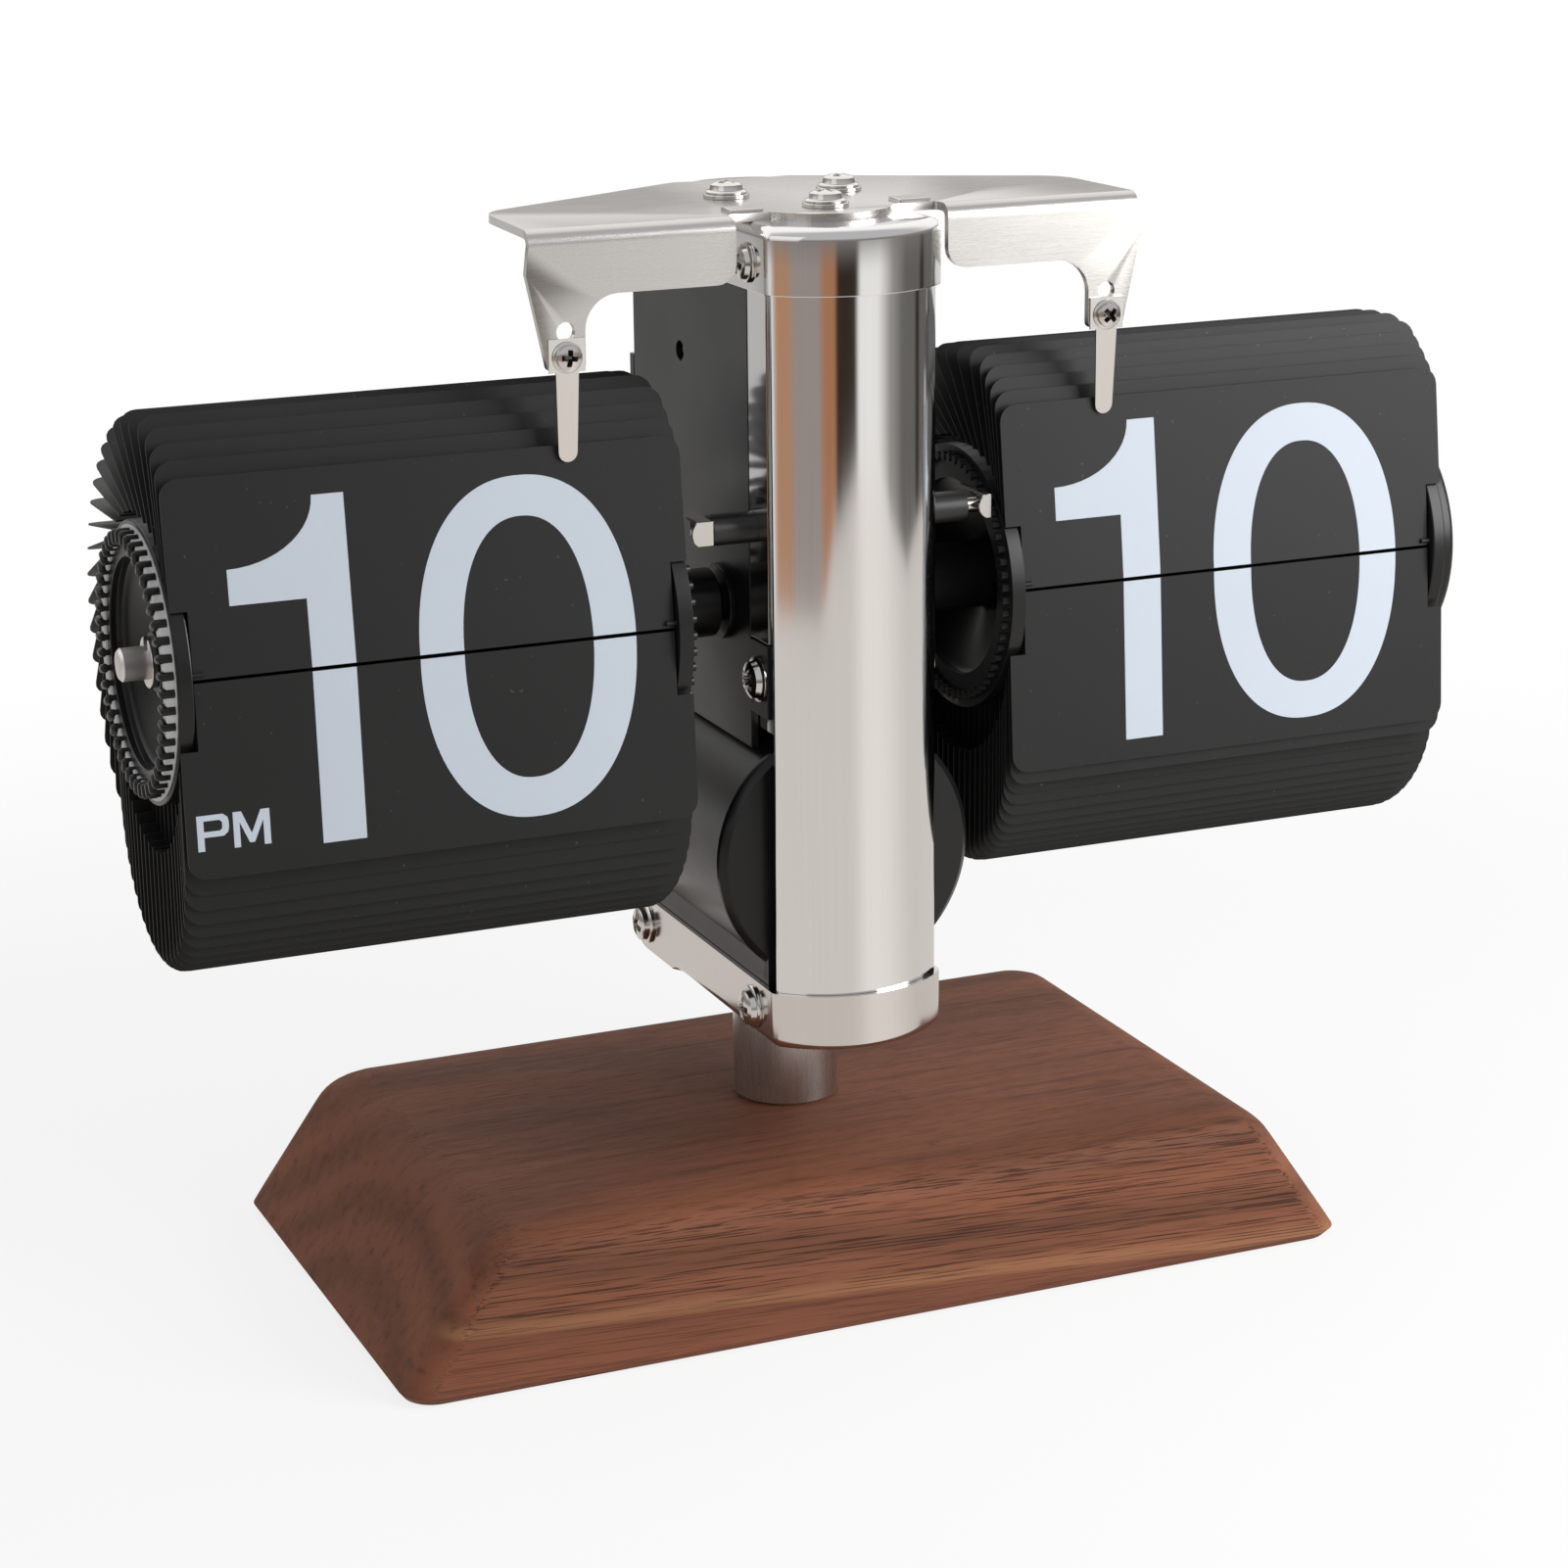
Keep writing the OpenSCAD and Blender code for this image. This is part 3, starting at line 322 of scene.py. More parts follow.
# %% One class for all finishes
class Finish(Tree):
    """A material with one Principled shader."""

    def __init__(self, name, colour, roughness, metallic=0.0, gloss=0.5):
        self.material = bpy.data.materials.new(name)
        self.material.use_nodes = True
        self.material.diffuse_color = (*colour, 1.0)
        super().__init__(self.material.node_tree)
        self.lie = None
        self.shader = self.tree.nodes.new("ShaderNodeBsdfPrincipled")
        output = self.tree.nodes.new("ShaderNodeOutputMaterial")
        self.tree.links.new(self.shader.outputs[0], output.inputs["Surface"])
        self.drive("Base Color", (*colour, 1.0))
        self.drive("Roughness", roughness)
        self.drive("Metallic", metallic)
        self.drive("Specular IOR Level", gloss)

    def drive(self, socket, value):
        self.plug(self.shader.inputs[socket], value)

    def spot(self, stretch=(1.0, 1.0, 1.0), shift=(0.0, 0.0, 0.0)):
        """The place on the piece in millimetres, squeezed by a factor along each axis."""
        metres = self.lie or self.add("ShaderNodeTexCoord", output="Object")
        scale = tuple(s / MM for s in stretch)
        return self.add("ShaderNodeMapping", {}, {"Vector": metres, "Location": shift, "Scale": scale})

    def grain(self, stretch, detail=3.0, rough=0.55, shift=(0.0, 0.0, 0.0)):
        """Noise about 0 to 1 with so many bumps for each millimetre along x, y and z."""
        inputs = {"Vector": self.spot(stretch, shift), "Scale": 1.0, "Detail": detail, "Roughness": rough}
        return self.add("ShaderNodeTexNoise", {}, inputs)

    def bump(self, height, depth_mm):
        relief = {"Height": height, "Distance": depth_mm * MM, "Strength": 1.0}
        self.drive("Normal", self.add("ShaderNodeBump", {}, relief))


print("finish class ready")

# %% [markdown]
# ### Walnut
# The base is a block of oiled walnut with its grain along the length. On the front the year rings are
# cut lengthwise and run as streaks, and on the ends they show as arcs. A ring pattern measured from a
# line far below the block gives both at once. The board was cut a little askew, so its grain rises to
# the left: `lie` tilts the place that every pattern reads. Fine dark pores are noise stretched along
# the grain. They are open channels on the front, lie shallower on the top and are cut through on the
# ends, so the way a face looks sets how much they show.

# %% Walnut figure
walnut = Finish("walnut", (0.17, 0.065, 0.035), 0.62, gloss=0.18)
SLANT = 0.045
block_spot = walnut.add("ShaderNodeTexCoord", output="Object")
block_x = walnut.add("ShaderNodeSeparateXYZ", {}, {0: block_spot}, output="X")
slanted = {"X": block_x, "Y": block_x.other("Y"), "Z": block_x.other("Z") + SLANT * block_x}
walnut.lie = walnut.add("ShaderNodeCombineXYZ", {}, slanted)
wood_x = walnut.add("ShaderNodeSeparateXYZ", {}, {0: walnut.spot()}, output="X")
wood_y = wood_x.other("Y")
wood_z = wood_x.other("Z")
slow_wave = walnut.grain((0.010, 0.014, 0.018), detail=1.5)
side_wave = walnut.grain((0.02, 0.05, 0.06), shift=(4.0, 1.0, 7.0))
PITH_Y = -14.0
PITH_Z = -62.0
RING_MM = 9.0
across = wood_y - PITH_Y
above = wood_z - PITH_Z
ring_place = (across * across + above * above).root() + 18.0 * slow_wave + 3.0 * side_wave
rings = 0.5 + 0.5 * (ring_place * (math.tau / RING_MM)).sine()
streaks = walnut.grain((0.008, 0.55, 0.55), detail=5.0, rough=0.62)
facing = walnut.add("ShaderNodeNewGeometry", output="Normal")
facing_x = walnut.add("ShaderNodeSeparateXYZ", {}, {0: facing}, output="X")
off_ends = 1.0 - (facing_x * facing_x).step(0.03, 0.22)
off_top = 1.0 - 0.55 * facing_x.other("Z").step(0.55, 0.95)
lengthwise = off_ends * off_top
pores = walnut.grain((0.055, 4.6, 4.6), detail=2.0, shift=(9.0, 3.0, 2.0)).step(0.53, 0.62) * lengthwise
fibre = walnut.grain((0.06, 6.0, 6.0), detail=2.0, shift=(2.0, 8.0, 5.0))
print("walnut: rings, streaks, pores and fibre")

# %% Walnut colours
LIGHT_HEART = (0.225, 0.082, 0.043)
DARK_HEART = (0.098, 0.038, 0.022)
SAPWOOD = (0.36, 0.165, 0.080)
ROSY_EDGE = (0.225, 0.075, 0.043)
DARK_STREAK = (0.065, 0.027, 0.016)
PALE_FIBRE = (0.30, 0.13, 0.070)
OPEN_PORE = (0.040, 0.016, 0.010)
heart = walnut.mix(rings * 0.55 + (streaks - 0.45) * 1.3, LIGHT_HEART, DARK_HEART)
sap_line = wood_z + 0.015 * wood_x + 1.6 * side_wave
on_front = 1.0 - wood_y.step(-41.0, -36.0)
sap = sap_line.step(5.3, 6.5) * (1.0 - sap_line.step(6.7, 9.0)) * on_front * (0.5 + streaks)
tan_band = walnut.mix(sap * 0.65, heart, SAPWOOD)
rosy = walnut.mix((1.0 - sap_line.step(5.0, 6.2)) * on_front * 0.4, tan_band, ROSY_EDGE)
streaked = walnut.mix(streaks.step(0.56, 0.74) * 0.6, rosy, DARK_STREAK)
fibred = walnut.mix((fibre - 0.35) * 0.45, streaked, PALE_FIBRE)
pored = pores * (0.5 + 0.5 * sap_line.step(5.6, 8.6))
walnut.drive("Base Color", walnut.mix(pored * 0.8, fibred, OPEN_PORE))
walnut.drive("Roughness", 0.56 + 0.12 * streaks + 0.12 * pores)
walnut.bump(fibre * 0.4 - pored, 0.05)
print("walnut: heartwood with one band of sapwood low on the front")

# %% [markdown]
# ### Steel
# Steel is finished in many ways on the clock: the pillar and cap are a mirror, strap and springs are
# satin, the bracket is brushed, stem and axle come dull from the lathe, and screws and washers are
# bright. All are the same metal with a different roughness. Brushing is noise that is very long along
# the stroke, and it moves the roughness and the bump together.

# %% Steel finishes
def steel(name, colour, roughness, stroke, depth, spread, toned=True):
    """Metal with brush strokes; stroke has the bumps for each millimetre along x, y and z."""
    finish = Finish(name, colour, roughness, metallic=1.0)
    strokes = finish.grain(stroke, rough=0.6)
    clouds = finish.grain((0.05, 0.05, 0.05), detail=2.0)
    finish.drive("Roughness", roughness + spread * (strokes - 0.5) + 0.06 * (clouds - 0.5))
    if toned:
        shade = tuple(0.93 * c for c in colour)
        finish.drive("Base Color", finish.mix((strokes - 0.35) * 0.9, shade, colour))
    finish.bump(strokes, depth)
    return finish


polished = steel("polished_steel", (0.81, 0.80, 0.79), 0.09, (3.0, 3.0, 0.02), 0.0002, 0.04)
brushed = steel("brushed_steel", (0.64, 0.62, 0.60), 0.27, (0.05, 4.0, 4.0), 0.002, 0.08)
turned = steel("turned_steel", (0.62, 0.61, 0.60), 0.28, (4.0, 4.0, 0.06), 0.002, 0.14)
bright = steel("bright_steel", (0.66, 0.64, 0.61), 0.20, (2.0, 2.0, 2.0), 0.002, 0.08)
axle_steel = steel("axle_steel", (0.78, 0.76, 0.74), 0.42, (0.05, 4.0, 4.0), 0.002, 0.10)
satin = steel("satin_steel", (0.72, 0.69, 0.66), 0.16, (3.0, 3.0, 0.02), 0.0004, 0.06)
brass = steel("brass", (0.72, 0.50, 0.20), 0.28, (2.0, 2.0, 2.0), 0.002, 0.08)
print("steel: mirror, satin, brushed, turned, bright and dull, and brass")

# %% [markdown]
# ### Black metal, mouldings and card
# The chassis is black lacquer on sheet, the drums are satin black mouldings, and the cards are thin
# matt charcoal sheet with a fine tooth. A flat black looks like a hole, so each has its own small
# grain in colour, roughness and bump.

# %% Black and pale finishes
def coated(name, colour, roughness, grain_mm, depth, vary, worn, gloss=0.5):
    """Lacquer or moulded plastic with a small even grain and slow clouds."""
    finish = Finish(name, colour, roughness, gloss=gloss)
    fine = finish.grain((1 / grain_mm,) * 3, detail=2.0)
    clouds = finish.grain((0.06, 0.06, 0.06))
    finish.drive("Base Color", finish.mix(fine * 0.5 + clouds * 0.5, colour, worn))
    finish.drive("Roughness", roughness + vary * (clouds - 0.5) + 0.5 * vary * (fine - 0.5))
    finish.bump(fine, depth)
    return finish


def grey(level):
    return (level, level, level)


black_metal = coated("black_metal", grey(0.008), 0.36, 0.35, 0.004, 0.12, grey(0.016))
black_plastic = coated("black_plastic", grey(0.006), 0.30, 0.5, 0.003, 0.10, grey(0.012), gloss=0.3)
pale_plastic = coated("pale_plastic", (0.66, 0.66, 0.65), 0.45, 0.4, 0.003, 0.10, (0.76, 0.76, 0.75))
cell_sleeve = coated("cell_sleeve", (0.35, 0.20, 0.05), 0.35, 0.6, 0.002, 0.10, (0.42, 0.25, 0.07))
ink = coated("digit_ink", (0.47, 0.52, 0.58), 0.55, 0.25, 0.001, 0.10, (0.52, 0.57, 0.63))

card = Finish("card", grey(0.010), 0.50, gloss=0.32)
tooth = card.grain((2.6, 2.6, 2.6), rough=0.65)
clouds = card.grain((0.04, 0.04, 0.05), detail=2.0)
specks = card.grain((1.1, 1.1, 1.1), detail=1.0, shift=(3.0, 5.0, 1.0)).step(0.76, 0.80)
toned = card.mix(tooth * 0.6 + clouds * 0.4, grey(0.006), (0.012, 0.0118, 0.0115))
card.drive("Base Color", card.mix(specks * 0.5, toned, grey(0.08)))
card.drive("Roughness", 0.46 + 0.12 * tooth)
card.bump(tooth, 0.006)
print("black metal, black and pale plastic, card and ink")

# %% [markdown]
# ## Dressing the solids
# Each solid of the frame takes the finish of its slot in the record. A solid's own mesh is loose
# triangles, so its round faces look faceted and its edges are knife sharp. Where that would show,
# `eased` takes a merged copy, rounds its edges a little and lets the copy stand for the solid.

# %% Finishes on the frame's own solids
FINISH_OF_SLOT = {
    "walnut": walnut, "polished_steel": polished, "brushed_steel": brushed, "bright_steel": bright,
    "black_metal": black_metal, "black_plastic": black_plastic, "card": card, "pale_plastic": pale_plastic,
    "brass": brass, "cell": cell_sleeve,
}
for node, solid in frame["nodes"].items():
    solid.data.materials.clear()
    solid.data.materials.append(FINISH_OF_SLOT[slot_of_node[node]].material)
print(f"{len(frame['nodes'])} solids have a finish")

# %% Turn a mesh in millimetres into a finished piece
def in_scene(name, bm):
    """An object from a bmesh in millimetres."""
    mesh = bpy.data.meshes.new(name)
    bm.to_mesh(mesh)
    bm.free()
    obj = bpy.data.objects.new(name, mesh)
    scene.collection.objects.link(obj)
    return obj


def apply_modifiers(obj):
    """Swaps the object's mesh for its evaluated one, and drops the modifiers."""
    graph = bpy.context.evaluated_depsgraph_get()
    mesh = bpy.data.meshes.new_from_object(obj.evaluated_get(graph))
    obj.modifiers.clear()
    obj.data = mesh


def finish_piece(obj, finish, body, stands_for=(), sharp=20.0):
    """Scales a piece to metres, shades it and puts it on its body."""
    obj.data.transform(Matrix.Scale(MM, 4))
    obj.data.materials.clear()
    obj.data.materials.append(finish.material)
    obj.data.shade_smooth()
    obj.data.set_sharp_from_angle(angle=math.radians(sharp))
    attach(obj, body)
    if stands_for:
        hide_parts(*stands_for)
    print(f"{obj.name}: {len(obj.data.polygons)} faces on {body}")


def round_edges(obj, width, angle=30.0):
    bevel = obj.modifiers.new("edges", "BEVEL")
    bevel.width = width
    bevel.segments = 2
    bevel.limit_method = "ANGLE"
    bevel.angle_limit = math.radians(angle)
    bevel.use_clamp_overlap = True


def eased(node, width, finish=None):
    """A merged copy of a solid with rounded edges, which stands for it."""
    bm = bmesh.new()
    bm.from_mesh(frame["nodes"][node].data)
    bmesh.ops.scale(bm, vec=(1 / MM,) * 3, verts=bm.verts)
    bmesh.ops.remove_doubles(bm, verts=bm.verts, dist=0.002)
    bmesh.ops.dissolve_limit(bm, angle_limit=math.radians(1.0), verts=bm.verts, edges=bm.edges)
    obj = in_scene(f"{node}_eased", bm)
    round_edges(obj, width)
    apply_modifiers(obj)
    slot = slot_of_node[node]
    finish_piece(obj, finish or FINISH_OF_SLOT[slot], body_of_node[node], [node])


print("piece helpers ready")

# %% Ease the solids that show
EASED = {
    "left_side_plate": 0.2, "right_side_plate": 0.2, "chassis_top": 0.25, "front_bracket": 0.2,
    "rear_cover": 0.3, "battery_housing": 0.3, "battery_cap": 0.3, "movement_box": 0.3, "axle_bushes": 0.15,
    "hour_hub": 0.2, "minute_hub": 0.2, "hour_outer_disc": 0.25, "minute_outer_disc": 0.25,
    "hour_inner_disc": 0.12, "minute_inner_disc": 0.12, "axle_clips": 0.1,
    "stop_rod": 0.12, "stop_clips": 0.08, "top_washers": 0.12,
    "setting_wheel": 0.12, "chassis_spacers": 0.15,
}
for node, width in EASED.items():
    eased(node, width)
eased("main_axle", 0.15, axle_steel)
eased("left_spring", 0.08, satin)
eased("right_spring", 0.08, satin)

# %% [markdown]
# ## The walnut block
# The base is wider than deep, its ends lean in and its upper edges are well rounded. A bevelled box
# would round all edges alike. Here one rounded rectangle is drawn at many heights, and each height
# has its own lean. The rings are joined into a skin that also runs down the bolt's counterbore, so
# the block is closed.

# %% Sizes of the base
BASE_W = 153.6
BASE_D = 85.2
BASE_H = 22.3
BASE_CORNER = 4.5
END_LEAN = 14.0
END_ROUND = 9.0
FACE_LEAN = 2.0
FACE_ROUND = 6.0
FOOT = 0.9
FOOT_H = 1.24
LEAN_FROM = 0.1
LEAN_SHARE = 0.94
BOLT_R = 3.3
SEAT_R = 9.0
SEAT_Z = 9.0
print(f"base {BASE_W} x {BASE_D} x {BASE_H} mm")

# %% Rings and skins
def lean_in(z, lean, rounding):
    """How far a side has come in at a height: a straight lean, then a rounded upper edge."""
    tilt = math.atan(lean / BASE_H)
    centre_z = BASE_H - rounding
    centre_in = lean + rounding * math.tan((math.pi / 2 - tilt) / 2)
    if z <= centre_z + rounding * math.sin(tilt):
        return z * math.tan(tilt)
    return centre_in - math.sqrt(max(0.0, rounding ** 2 - (z - centre_z) ** 2))


def rounded_ring(half_x, half_y, corner, z, per_corner=10, per_side=8):
    """Points round a rounded rectangle, from the middle of the right side towards the back."""
    arcs = []
    for turn, (sx, sy) in enumerate([(1, 1), (-1, 1), (-1, -1), (1, -1)]):
        centre = Vector((sx * (half_x - corner), sy * (half_y - corner), z))
        angles = math.pi / 2 * (turn + np.linspace(0, 1, per_corner))
        arcs.append([centre + corner * Vector((math.cos(a), math.sin(a), 0)) for a in angles])
    points = []
    for arc, following in zip(arcs, arcs[1:] + arcs[:1]):
        points += arc
        points += [arc[-1].lerp(following[0], k / per_side) for k in range(1, per_side)]
    return points


def circle_ring(radius, z, count, start=0.0):
    angles = [start + math.tau * i / count for i in range(count)]
    return [Vector((radius * math.cos(a), radius * math.sin(a), z)) for a in angles]


def loft(rings, closed_rows=False, closed_rings=True, capped=False):
    """A skin over rings with the same number of points; capped closes the first and the last ring."""
    bm = bmesh.new()
    rows = [[bm.verts.new(p) for p in ring] for ring in rings]
    pairs = list(zip(rows, rows[1:]))
    if closed_rows:
        pairs.append((rows[-1], rows[0]))
    count = len(rows[0])
    for low, high in pairs:
        for i in range(count if closed_rings else count - 1):
            j = (i + 1) % count
            bm.faces.new((low[i], low[j], high[j], high[i]))
    if capped:
        bm.faces.new(rows[0][::-1])
        bm.faces.new(rows[-1])
    return bm


def facing_out(bm):
    """Turns all faces of a closed skin outwards."""
    bmesh.ops.recalc_face_normals(bm, faces=bm.faces)
    return bm


print("ring and skin helpers ready")

# %% Lofted base
def rising(z):
    """The height that counts for the lean: the lean starts just above the foot."""
    return min(max(0.0, z - FOOT_H - LEAN_FROM) / LEAN_SHARE, BASE_H)


shares = np.concatenate([np.linspace(0, 0.5, 5), np.linspace(0.55, 1, 16)])
heights = FOOT_H + (BASE_H - FOOT_H) * shares
base_rings = [rounded_ring(BASE_W / 2 - FOOT, BASE_D / 2 - FOOT, BASE_CORNER, 0.0)]
for z in heights:
    half_x = BASE_W / 2 - lean_in(rising(z), END_LEAN, END_ROUND)
    half_y = BASE_D / 2 - lean_in(rising(z), FACE_LEAN, FACE_ROUND)
    base_rings.append(rounded_ring(half_x, half_y, BASE_CORNER, z))
ring_points = len(base_rings[0])
for radius, z in [(BOLT_R, BASE_H), (BOLT_R, SEAT_Z), (SEAT_R, SEAT_Z), (SEAT_R, 0.0)]:
    base_rings.append(circle_ring(radius, z, ring_points, math.radians(10)))
base_skin = facing_out(loft(base_rings, closed_rows=True))
finish_piece(in_scene("walnut_block", base_skin), walnut, "stand", ["wood_base"], sharp=40.0)

# %% [markdown]
# ## The turned stem
# A short bar of steel joins base and pillar. On a lathe its ends get a small chamfer, which catches a
# bright line. A profile of radius and height that is swept round the axis is just what the lathe
# does.

# %% Turned stem
SEGMENTS = 72


def lathe(profile, segments=SEGMENTS, ring=False):
    """Sweeps points of radius and height round the z axis, poles included; a ring's profile is closed."""
    bm = loft([circle_ring(r, z, segments) for r, z in profile], closed_rows=ring)
    bmesh.ops.remove_doubles(bm, verts=bm.verts, dist=1e-5)
    return facing_out(bm)


STEM_R = 8.25
STEM_LOW = BASE_H
STEM_HIGH = 40.1
CHAMFER = 0.45
LOW_HOLE_R = 3.05
LOW_HOLE_TOP = 30.8
HIGH_HOLE_R = 2.05
HIGH_HOLE_LOW = 33.6
stem_profile = [
    (0, LOW_HOLE_TOP), (LOW_HOLE_R, LOW_HOLE_TOP), (LOW_HOLE_R, STEM_LOW), (STEM_R - CHAMFER, STEM_LOW),
    (STEM_R, STEM_LOW + CHAMFER), (STEM_R, STEM_HIGH - CHAMFER), (STEM_R - CHAMFER, STEM_HIGH),
    (HIGH_HOLE_R, STEM_HIGH), (HIGH_HOLE_R, HIGH_HOLE_LOW), (0, HIGH_HOLE_LOW),
]
finish_piece(in_scene("turned_stem", lathe(stem_profile)), turned, "stand", ["stem"])

# %% [markdown]
# ## Cap and strap
# Both are pressed from thin sheet that wraps round the bowed pillar. The cap is closed on top and the
# strap has a floor. A solid with square corners would miss the rolled shoulder that catches the
# light. So the outside is drawn as an open path in plan, carried up the wall and round a shoulder,
# and Solidify gives the sheet thickness.

# %% Plan of the wrap
SIDE_X = 13.7
BOW_Y = -15.45
BOW_R = 18.247
WRAP_CORNER = 2.0
SHEET_T = 0.7
WRAP_PLAY = 0.1
corner_x = SIDE_X - WRAP_CORNER
corner_y = BOW_Y - math.sqrt((BOW_R - WRAP_CORNER) ** 2 - corner_x ** 2)
bow_end = math.asin(corner_x / (BOW_R - WRAP_CORNER))


def wrap_path(side_places):
    """Points of the outside and the directions out of it, from the left end round to the right end."""
    half = []
    for angle in np.linspace(0, bow_end, 20):
        out = Vector((math.sin(angle), -math.cos(angle), 0))
        half.append((Vector((0, BOW_Y, 0)) + BOW_R * out, out))
    for angle in np.linspace(bow_end, math.pi / 2, 8)[1:]:
        out = Vector((math.sin(angle), -math.cos(angle), 0))
        half.append((Vector((corner_x, corner_y, 0)) + WRAP_CORNER * out, out))
    half += [(Vector((SIDE_X, y, 0)), Vector((1, 0, 0))) for y in side_places]
    left = [(Vector((-p.x, p.y, 0)), Vector((-n.x, n.y, 0))) for p, n in half[:0:-1]]
    return left + half


def sheet_metal(name, bm, thickness, edge, finish, node):
    """Gives an outside skin its thickness and eased edges, and lets it stand for its solid."""
    obj = in_scene(name, bm)
    solidify = obj.modifiers.new("sheet", "SOLIDIFY")
    solidify.thickness = thickness
    solidify.offset = -1
    solidify.use_even_offset = True
    round_edges(obj, edge, angle=50.0)
    apply_modifiers(obj)
    finish_piece(obj, finish, "stand", [node])


print(f"wrap: bow to {math.degrees(bow_end):.1f} degrees, corner at y {corner_y:.2f} mm")

# %% Pressed cap
CAP_LOW = 152.5
CAP_MID = 155.0
CAP_TOP = 162.0
CAP_SHOULDER = 1.7
SHEET_EDGE = 0.12
CAP_SIDE = [-22.0, -18.0, -14.0, -10.0]
cap_path = wrap_path(CAP_SIDE)
cap_rows = [[p + Vector((0, 0, z)) for p, n in cap_path] for z in (CAP_LOW, CAP_MID, CAP_TOP - CAP_SHOULDER)]
for angle in np.linspace(0, math.pi / 2, 9)[1:]:
    inward = CAP_SHOULDER * (1 - math.cos(angle))
    z = CAP_TOP - CAP_SHOULDER + CAP_SHOULDER * math.sin(angle)
    cap_rows.append([p - inward * n + Vector((0, 0, z)) for p, n in cap_path])
cap_skin = loft(cap_rows, closed_rings=False)
cap_skin.verts.ensure_lookup_table()
cap_skin.faces.new(cap_skin.verts[-len(cap_path):])
sheet_metal("pressed_cap", cap_skin, SHEET_T, SHEET_EDGE, polished, "top_cap")

# %% Pressed strap
STRAP_LOW = 40.1
STRAP_TOP = 48.8
STRAP_MID = (STRAP_LOW + STRAP_TOP) / 2
STRAP_END = 24.65
END_R = (STRAP_TOP - STRAP_LOW) / 2
STRAP_FILLET = 1.7
FLOOR_END = 10.0
FADE_END = 13.0
STRAP_WALL = [44.0, 46.5, STRAP_TOP]
STRAP_SIDE = [-20.0, -10.0, 0.0, 6.0, FLOOR_END, 11.0, 12.0, FADE_END, 18.0, STRAP_END]
ROUND_END = [26.0, 27.0, 27.8, 28.4, 28.8, 28.98]
strap_path = wrap_path(STRAP_SIDE + ROUND_END)


def strap_row(inward, z):
    """One row of the strap: the fillet fades out behind the floor, and the ends are round from the side."""
    row = []
    for p, n in strap_path:
        fade = min(1.0, max(0.0, (FADE_END - p.y) / (FADE_END - FLOOR_END)))
        reach = math.sqrt(max(0.0, END_R ** 2 - max(0.0, p.y - STRAP_END) ** 2)) / END_R
        row.append(p - fade * inward * n + Vector((0, 0, STRAP_MID + (z - STRAP_MID) * reach)))
    return row


strap_rows = []
for angle in np.linspace(math.pi / 2, 0, 9):
    inward = STRAP_FILLET * (1 - math.cos(angle))
    strap_rows.append(strap_row(inward, STRAP_LOW + STRAP_FILLET * (1 - math.sin(angle))))
strap_rows += [strap_row(0, z) for z in STRAP_WALL]
strap_skin = loft(strap_rows, closed_rings=False)
strap_skin.verts.ensure_lookup_table()
floor_loop = [strap_skin.verts[i] for i, (p, n) in enumerate(strap_path) if p.y <= FLOOR_END + 0.01]
strap_skin.faces.new(floor_loop[::-1])
sheet_metal("pressed_strap", strap_skin, SHEET_T, SHEET_EDGE, satin, "bottom_strap")

# %% [markdown]
# ## The pillar
# The pillar is one bowed sheet of polished steel, and its long edges are rolled smooth. The bow has
# to be fine, because a mirror shows every facet. The section is drawn once, with half-round edges,
# and carried up.

# %% Bowed pillar
PILLAR_LOW = 41.4
PILLAR_TOP = 161.2
PILLAR_HW = SIDE_X - SHEET_T - WRAP_PLAY
PILLAR_R = BOW_R - SHEET_T - WRAP_PLAY
PILLAR_T = 0.8
BOW_STEPS = 96
EDGE_STEPS = 8
mid_r = PILLAR_R - PILLAR_T / 2
edge_r = PILLAR_T / 2
half_bow = math.asin((PILLAR_HW - edge_r) / mid_r)


def bow_point(radius, angle):
    return Vector((radius * math.sin(angle), BOW_Y - radius * math.cos(angle), 0))


def rolled_edge(side):
    """Half-round points round the right edge for side 1, and round the left edge for -1."""
    out = Vector((side * math.cos(half_bow), math.sin(half_bow), 0))
    points = []
    for turn in np.linspace(0, math.pi, EDGE_STEPS + 1)[1:-1]:
        middle = bow_point(mid_r + side * edge_r * math.cos(turn), side * half_bow)
        points.append(middle + edge_r * math.sin(turn) * out)
    return points


bow_angles = np.linspace(-half_bow, half_bow, BOW_STEPS + 1)
section = [bow_point(PILLAR_R, a) for a in bow_angles] + rolled_edge(1)
section += [bow_point(PILLAR_R - PILLAR_T, a) for a in bow_angles[::-1]] + rolled_edge(-1)
pillar_rows = [[p + Vector((0, 0, z)) for p in section] for z in np.linspace(PILLAR_LOW, PILLAR_TOP, 9)]
pillar = in_scene("bowed_pillar", facing_out(loft(pillar_rows, capped=True)))
finish_piece(pillar, polished, "stand", ["pillar"], sharp=50.0)

# %% [markdown]
# ## The top bracket
# The bracket is cut from one sheet and its two front wings are folded down, each with a leg for a
# spring finger. It is drawn the way it is made: one flat outline with its holes is filled, cut along
# lines across the fold, and then every point past the fold line is rolled round the fold's radius.

# %% Sizes of the bracket
BRACKET_TOP = 163.2
BRACKET_T = 1.2
BRACKET_HW = 47.4
FLANGE_Y = -23.8
FOLD_R = 2.0
FOLD_Y = FLANGE_Y + FOLD_R
FOLD_L = FOLD_R * math.pi / 2
WING_IN = 16.5
TAB_Y = -20.0
NOSE_R = 10.6
FINGER_X = 42.3
LEG_HW = 2.9
FLANGE_LOW = 153.9
LEG_LOW = 143.6
SMALL_R = 0.8
FLANGE_R = 3.0
LEG_R = 5.0
WING_R = 7.0
WING_IN_BACK = 0.8
WING_Y = -6.0
REAR_EDGE = [(26.0, 9.0), (9.5, 18.0)]
TAIL_Y = 8.5
TAIL_R = 11.0
SLOPE_OUT = 0.5
SLOPE_H = 6.0
